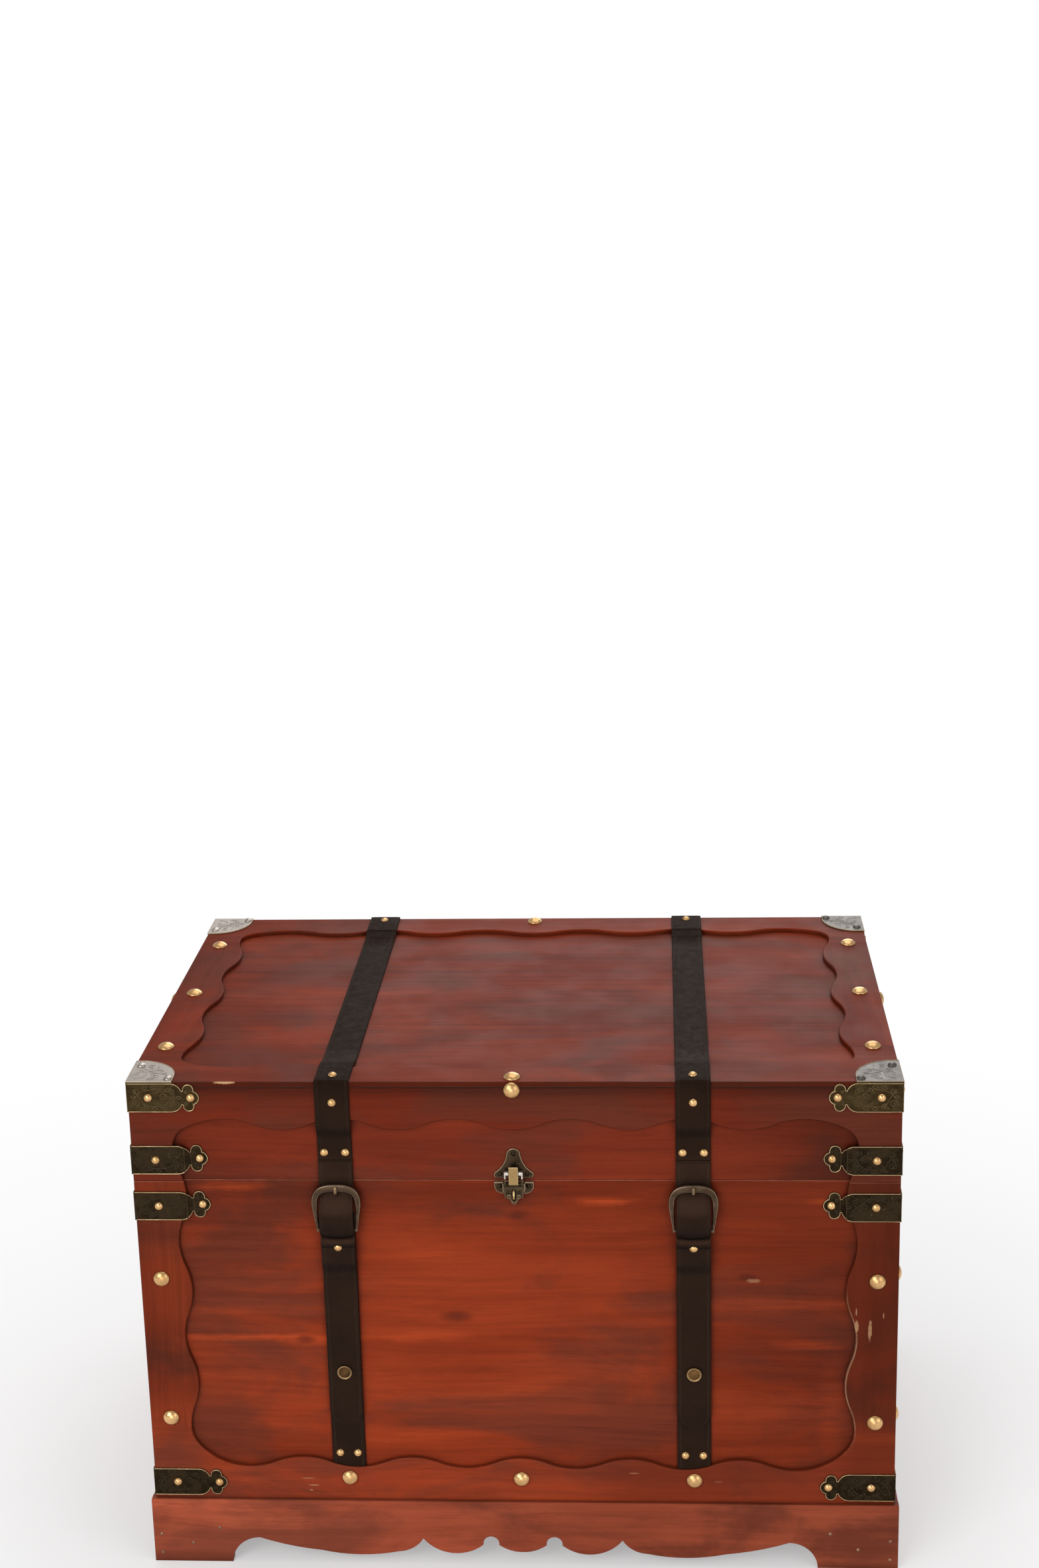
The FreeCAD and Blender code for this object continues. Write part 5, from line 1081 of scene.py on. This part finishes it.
def leaf_outline(reach):
    """Upper half of a leaf's outline, from the corner to its tip, as (distance from the corner, height)."""
    at = {key: (reach * u, LEAF_HALF * v) for key, (u, v) in TREFOIL.items()}
    line = [(at["shoulder"][0] * i / 8, LEAF_HALF) for i in range(8)]
    line += arc_points(at["shoulder"], at["shoulder_middle"], at["neck"], 6) + [at["lobe_start"]]
    line += arc_points(at["lobe_start"], at["lobe_top"], at["lobe_end"], 9)[1:]
    line += arc_points(at["lobe_end"], at["tip_middle"], at["tip"], 5)[1:]
    return line


def leaf_place(face, side, stepped, middle):
    """A function from (distance from the corner, height, lift) to a place on a leaf of a face."""

    def place(distance, height, lift=0.0):
        out = METAL + lift
        if stepped:
            out -= BOARD * min(max((distance - STEP_AT) / STEP_RUN, 0), 1)
        z = middle + height
        if face in ("front", "back"):
            y = HALF_Y + out
            return (side * (HALF_X - distance), -y if face == "front" else y, z)
        x = HALF_X + out
        return (x if face == "right" else -x, side * (HALF_Y - distance), z)

    return place


def scroll(at, size, turns, start, hand):
    """A spiral that opens outward, as (distance, height) points."""
    found = []
    for i in range(19):
        t = i / 18
        radius = size * (0.18 + 0.82 * t)
        turn = start + hand * turns * tau * t
        found.append((at[0] + radius * cos(turn), at[1] + radius * sin(turn)))
    return found


def petal(at, long, wide, turn):
    """A closed pointed leaf shape."""
    found = []
    for i in range(17):
        share = 1 - abs(i / 8 - 1)
        run = long * share
        bulge = wide * sin(pi * share) ** 0.8 * (1 if i < 8 else -1)
        found.append((at[0] + run * cos(turn) - bulge * sin(turn),
                      at[1] + run * sin(turn) + bulge * cos(turn)))
    return found


# Stems as points, scrolls as (place, size, turns, start, hand) and leaves as (place, length, turn), all in mm
STEMS = (
    ((4, -6), (12, 5), (22, 8.5), (33, 9), (42, 2), (50, -4)),
    ((6, 9), (12, 1), (18, -8.5), (30, -9.5), (40, -7), (47, 3)),
)
SCROLLS = (
    ((9.5, -6.5), 4.4, 1.4, 1.2, 1), ((9.5, 7.5), 3.6, 1.3, -1.0, -1), ((37.0, 1.0), 4.2, 1.5, 2.2, -1),
    ((46.5, -7.0), 3.4, 1.3, 0.6, 1), ((47.0, 7.5), 3.2, 1.3, 3.4, -1),
)
LEAVES = (
    ((16, 9.5), 6, 0.5), ((17, -6.5), 6.5, -0.9), ((31, 6.0), 6, 1.0), ((31, -6.5), 5.5, -0.6),
    ((40, 8), 6, 0.3), ((40.5, -6), 6, -0.5), ((3.5, 1), 5, 0.1), ((51, 0.5), 5.5, 0.0),
    ((13.5, -12), 5, 0.2), ((35, -12), 6, 0.1), ((25, 12), 6, 0.0), ((25, -12.2), 6, 0.0),
)
CAP_STEMS = (
    ((6, 6), (16, 12), (18, 24), (27, 30), (26, 41)),
    ((9, 44), (12, 34), (24, 22), (36, 18), (42, 14)),
)
CAP_SCROLLS = (
    ((28, 12), 4.6, 1.5, 0.4, 1), ((11, 26), 4.8, 1.5, 2.0, -1), ((31, 27), 4.0, 1.4, 1.0, 1),
    ((18, 40), 3.8, 1.4, 3.0, -1),
)
CAP_LEAVES = (
    ((20, 6), 7, 0.1), ((7, 16), 7, 1.4), ((21, 17), 7, 0.8), ((33, 19), 6, 0.5), ((20, 31), 7, 1.9),
    ((9, 34), 6, 1.2),
)
PETAL_RATIO = 0.26
ROSETTE = 6.2
ROSETTE_TURNS = (-1.15, 1.15, 0.0, -2.2, 2.2)
NAIL_CLEAR = 0.005


def drawn(stems, scrolls, leaves):
    """Engraved lines in metres, from stems, scrolls and leaves in mm."""
    lines = [smooth(stem, 6) for stem in stems] + [scroll(*row) for row in scrolls]
    lines += [petal(at, long, long * PETAL_RATIO, turn) for at, long, turn in leaves]
    return [[(x * MM, z * MM) for x, z in line] for line in lines]


def ornament(reach, nails):
    """Engraved lines of one leaf: a waved stem with scrolls and small leaves, clear of the nails."""
    lines = drawn(STEMS, SCROLLS, LEAVES)
    for turn in ROSETTE_TURNS:
        at = (nails[1] + ROSETTE * MM * cos(turn), ROSETTE * MM * sin(turn))
        lines.append(petal(at, 3.6 * MM, 1.1 * MM, turn))
    kept = []
    for line in lines:
        clear = all(hypot(x - nail, z) > NAIL_CLEAR for x, z in line[1:-1] for nail in nails)
        if clear and all(1.2 * MM < x < reach - 1.5 * MM and abs(z) < 14.6 * MM for x, z in line):
            kept.append(line)
    return kept


def raised(place, rim, drawing, out):
    """A leaf's or plate's raised rim, and its engraved lines."""
    lines = [wire([place(x, z, LINE_LIFT) for x, z in line], LINE, 4, 0.7, out) for line in drawing]
    return wire([place(x, z, RIM_LIFT) for x, z in rim], RIM, 6, 0.8, out), lines


def bracket_lines(label, body, middle, reach, stepped, nails, line_material):
    """Rims and ornament of the eight leaves of a row of corner brackets."""
    rims, lines = [], []
    half = leaf_outline(reach)
    inset = []
    for x, z in half + [(x, -z) for x, z in half[-2::-1]]:
        inset.append((x - (RIM if x > reach * 0.9 else 0.0), z - copysign(RIM, z) if z else 0.0))
    drawing = ornament(reach, nails)
    for face, out in (("front", (0, -1, 0)), ("back", (0, 1, 0)), ("right", (1, 0, 0)), ("left", (-1, 0, 0))):
        for side in (-1, 1):
            rim, engraving = raised(leaf_place(face, side, stepped, middle), inset, drawing, out)
            rims.append(rim)
            lines += engraving
    piece(label + "_rims", *join(rims), "line_brass", body)
    piece(label + "_ornament", *join(lines), line_material, body)


CAP_LONG = 0.047
CAP_DEEP = 0.055


def cap_plate_lines():
    """Rim and engraved scrolls of the plates that the corner caps fold over the lid's top."""
    start = (CAP_LONG, CAP_DEEP * 0.22)
    curve = arc_points(start, (CAP_LONG * 0.76, CAP_DEEP * 0.76), (CAP_LONG * 0.22, CAP_DEEP), 12)
    outline = [(x - RIM, y - RIM) for x, y in [(CAP_LONG, -METAL)] + curve]
    outline.append((-METAL, CAP_DEEP - RIM))
    drawing = drawn(CAP_STEMS, CAP_SCROLLS, CAP_LEAVES)
    rims, lines = [], []
    for side in (-1, 1):
        for end in (-1, 1):

            def place(x, y, lift):
                return (side * (HALF_X - x), end * (HALF_Y - y), TOP + METAL + lift)

            rim, engraving = raised(place, outline, drawing, (0, 0, 1))
            rims.append(rim)
            lines += engraving
    piece("cap_plate_rims", *join(rims), "cap_bronze", "lid")
    piece("cap_plate_ornament", *join(lines), "engraved_cap", "lid")


REACH = 0.0793
NAILS = (0.0249, 0.0705)
cap_plate_lines()
bracket_lines("upper_bracket", "chest", LID_LINE - 0.028, REACH, True, NAILS, "engraved")
bracket_lines("lower_bracket", "chest", 0.096, REACH, False, NAILS, "engraved")
bracket_lines("lid_bracket", "lid", LID_LOW + 0.024, REACH, True, NAILS, "engraved")
bracket_lines("cap_leaf", "lid", 0.5468, 0.075, False, (0.0214, 0.066), "engraved_cap")


# Studio: pale floor, white background, soft light
FLOOR_HALF = 9.0
FLOOR_GREY = 0.9
FLOOR_ROUGH = 0.9
WORLD_LIGHT = 0.55
LAMPS = (
    ("key", (-1.9, -3.4, 2.3), (0, -0.1, 0.25), 2.4, 62.0),
    ("fill", (2.6, -2.8, 1.6), (0, 0, 0.3), 2.4, 22.0),
    ("low", (-0.3, -3.4, 0.45), (0, 0, 0.15), 1.6, 16.0),
    ("over", (0.2, 0.6, 3.2), (0, 0, 0.5), 2.6, 26.0),
    ("back", (0.4, 3.2, 2.0), (0, 0, 0.3), 2.4, 34.0),
)


def white_floor():
    """A floor that the camera sees as white a little away from the trunk."""
    mesh = bpy.data.meshes.new("floor")
    corners = [(x * FLOOR_HALF, y * FLOOR_HALF, 0) for x, y in ((-1, -1), (1, -1), (1, 1), (-1, 1))]
    mesh.from_pydata(corners, [], [(0, 1, 2, 3)])
    floor = bpy.data.objects.new("floor", mesh)
    scene.collection.objects.link(floor)
    g = Graph("floor_white")
    g.shader.inputs["Base Color"].default_value = (FLOOR_GREY, FLOOR_GREY, FLOOR_GREY, 1)
    g.shader.inputs["Roughness"].default_value = FLOOR_ROUGH
    glow = g.add("Emission", {"Color": (1, 1, 1, 1), "Strength": 1.0}).outputs[0]
    path = g.add("LightPath").outputs
    away = g.reach((0.0, 0.0), (1.0, 1.0), "xy")
    seen = g.math("MAXIMUM", path["Is Camera Ray"], path["Is Transmission Ray"])
    seen = g.math("MAXIMUM", seen, g.times(path["Is Glossy Ray"], 0.6))
    share = g.times(g.steps(away, 0.45, 1.5, 0.35, 1.0), seen)
    mixed = g.add("MixShader", {0: share, 1: g.shader.outputs[0], 2: glow}).outputs[0]
    g.feed(g.tree.nodes["Material Output"].inputs["Surface"], mixed)
    mesh.materials.append(g.material)


def white_world():
    """A world that is white to the camera and dimmer as a light."""
    world = bpy.data.worlds.new("studio")
    scene.world = world
    world.use_nodes = True
    g = Tree(world.node_tree)
    g.tree.nodes.clear()
    path = g.add("LightPath").outputs
    seen = g.math("MAXIMUM", path["Is Camera Ray"], path["Is Transmission Ray"])
    level = g.add("MapRange", {0: seen, 3: WORLD_LIGHT, 4: 1.0}).outputs[0]
    back = g.add("Background", {"Color": (1, 1, 1, 1), "Strength": level}).outputs[0]
    g.add("OutputWorld", {0: back})


def studio():
    white_floor()
    white_world()
    for name, at, aim, size, power in LAMPS:
        data = bpy.data.lights.new(name, "AREA")
        data.size = size
        data.energy = power
        lamp = bpy.data.objects.new(name, data)
        lamp.location = at
        lamp.rotation_euler = (Vector(aim) - Vector(at)).to_track_quat("-Z", "Y").to_euler()
        scene.collection.objects.link(lamp)


studio()
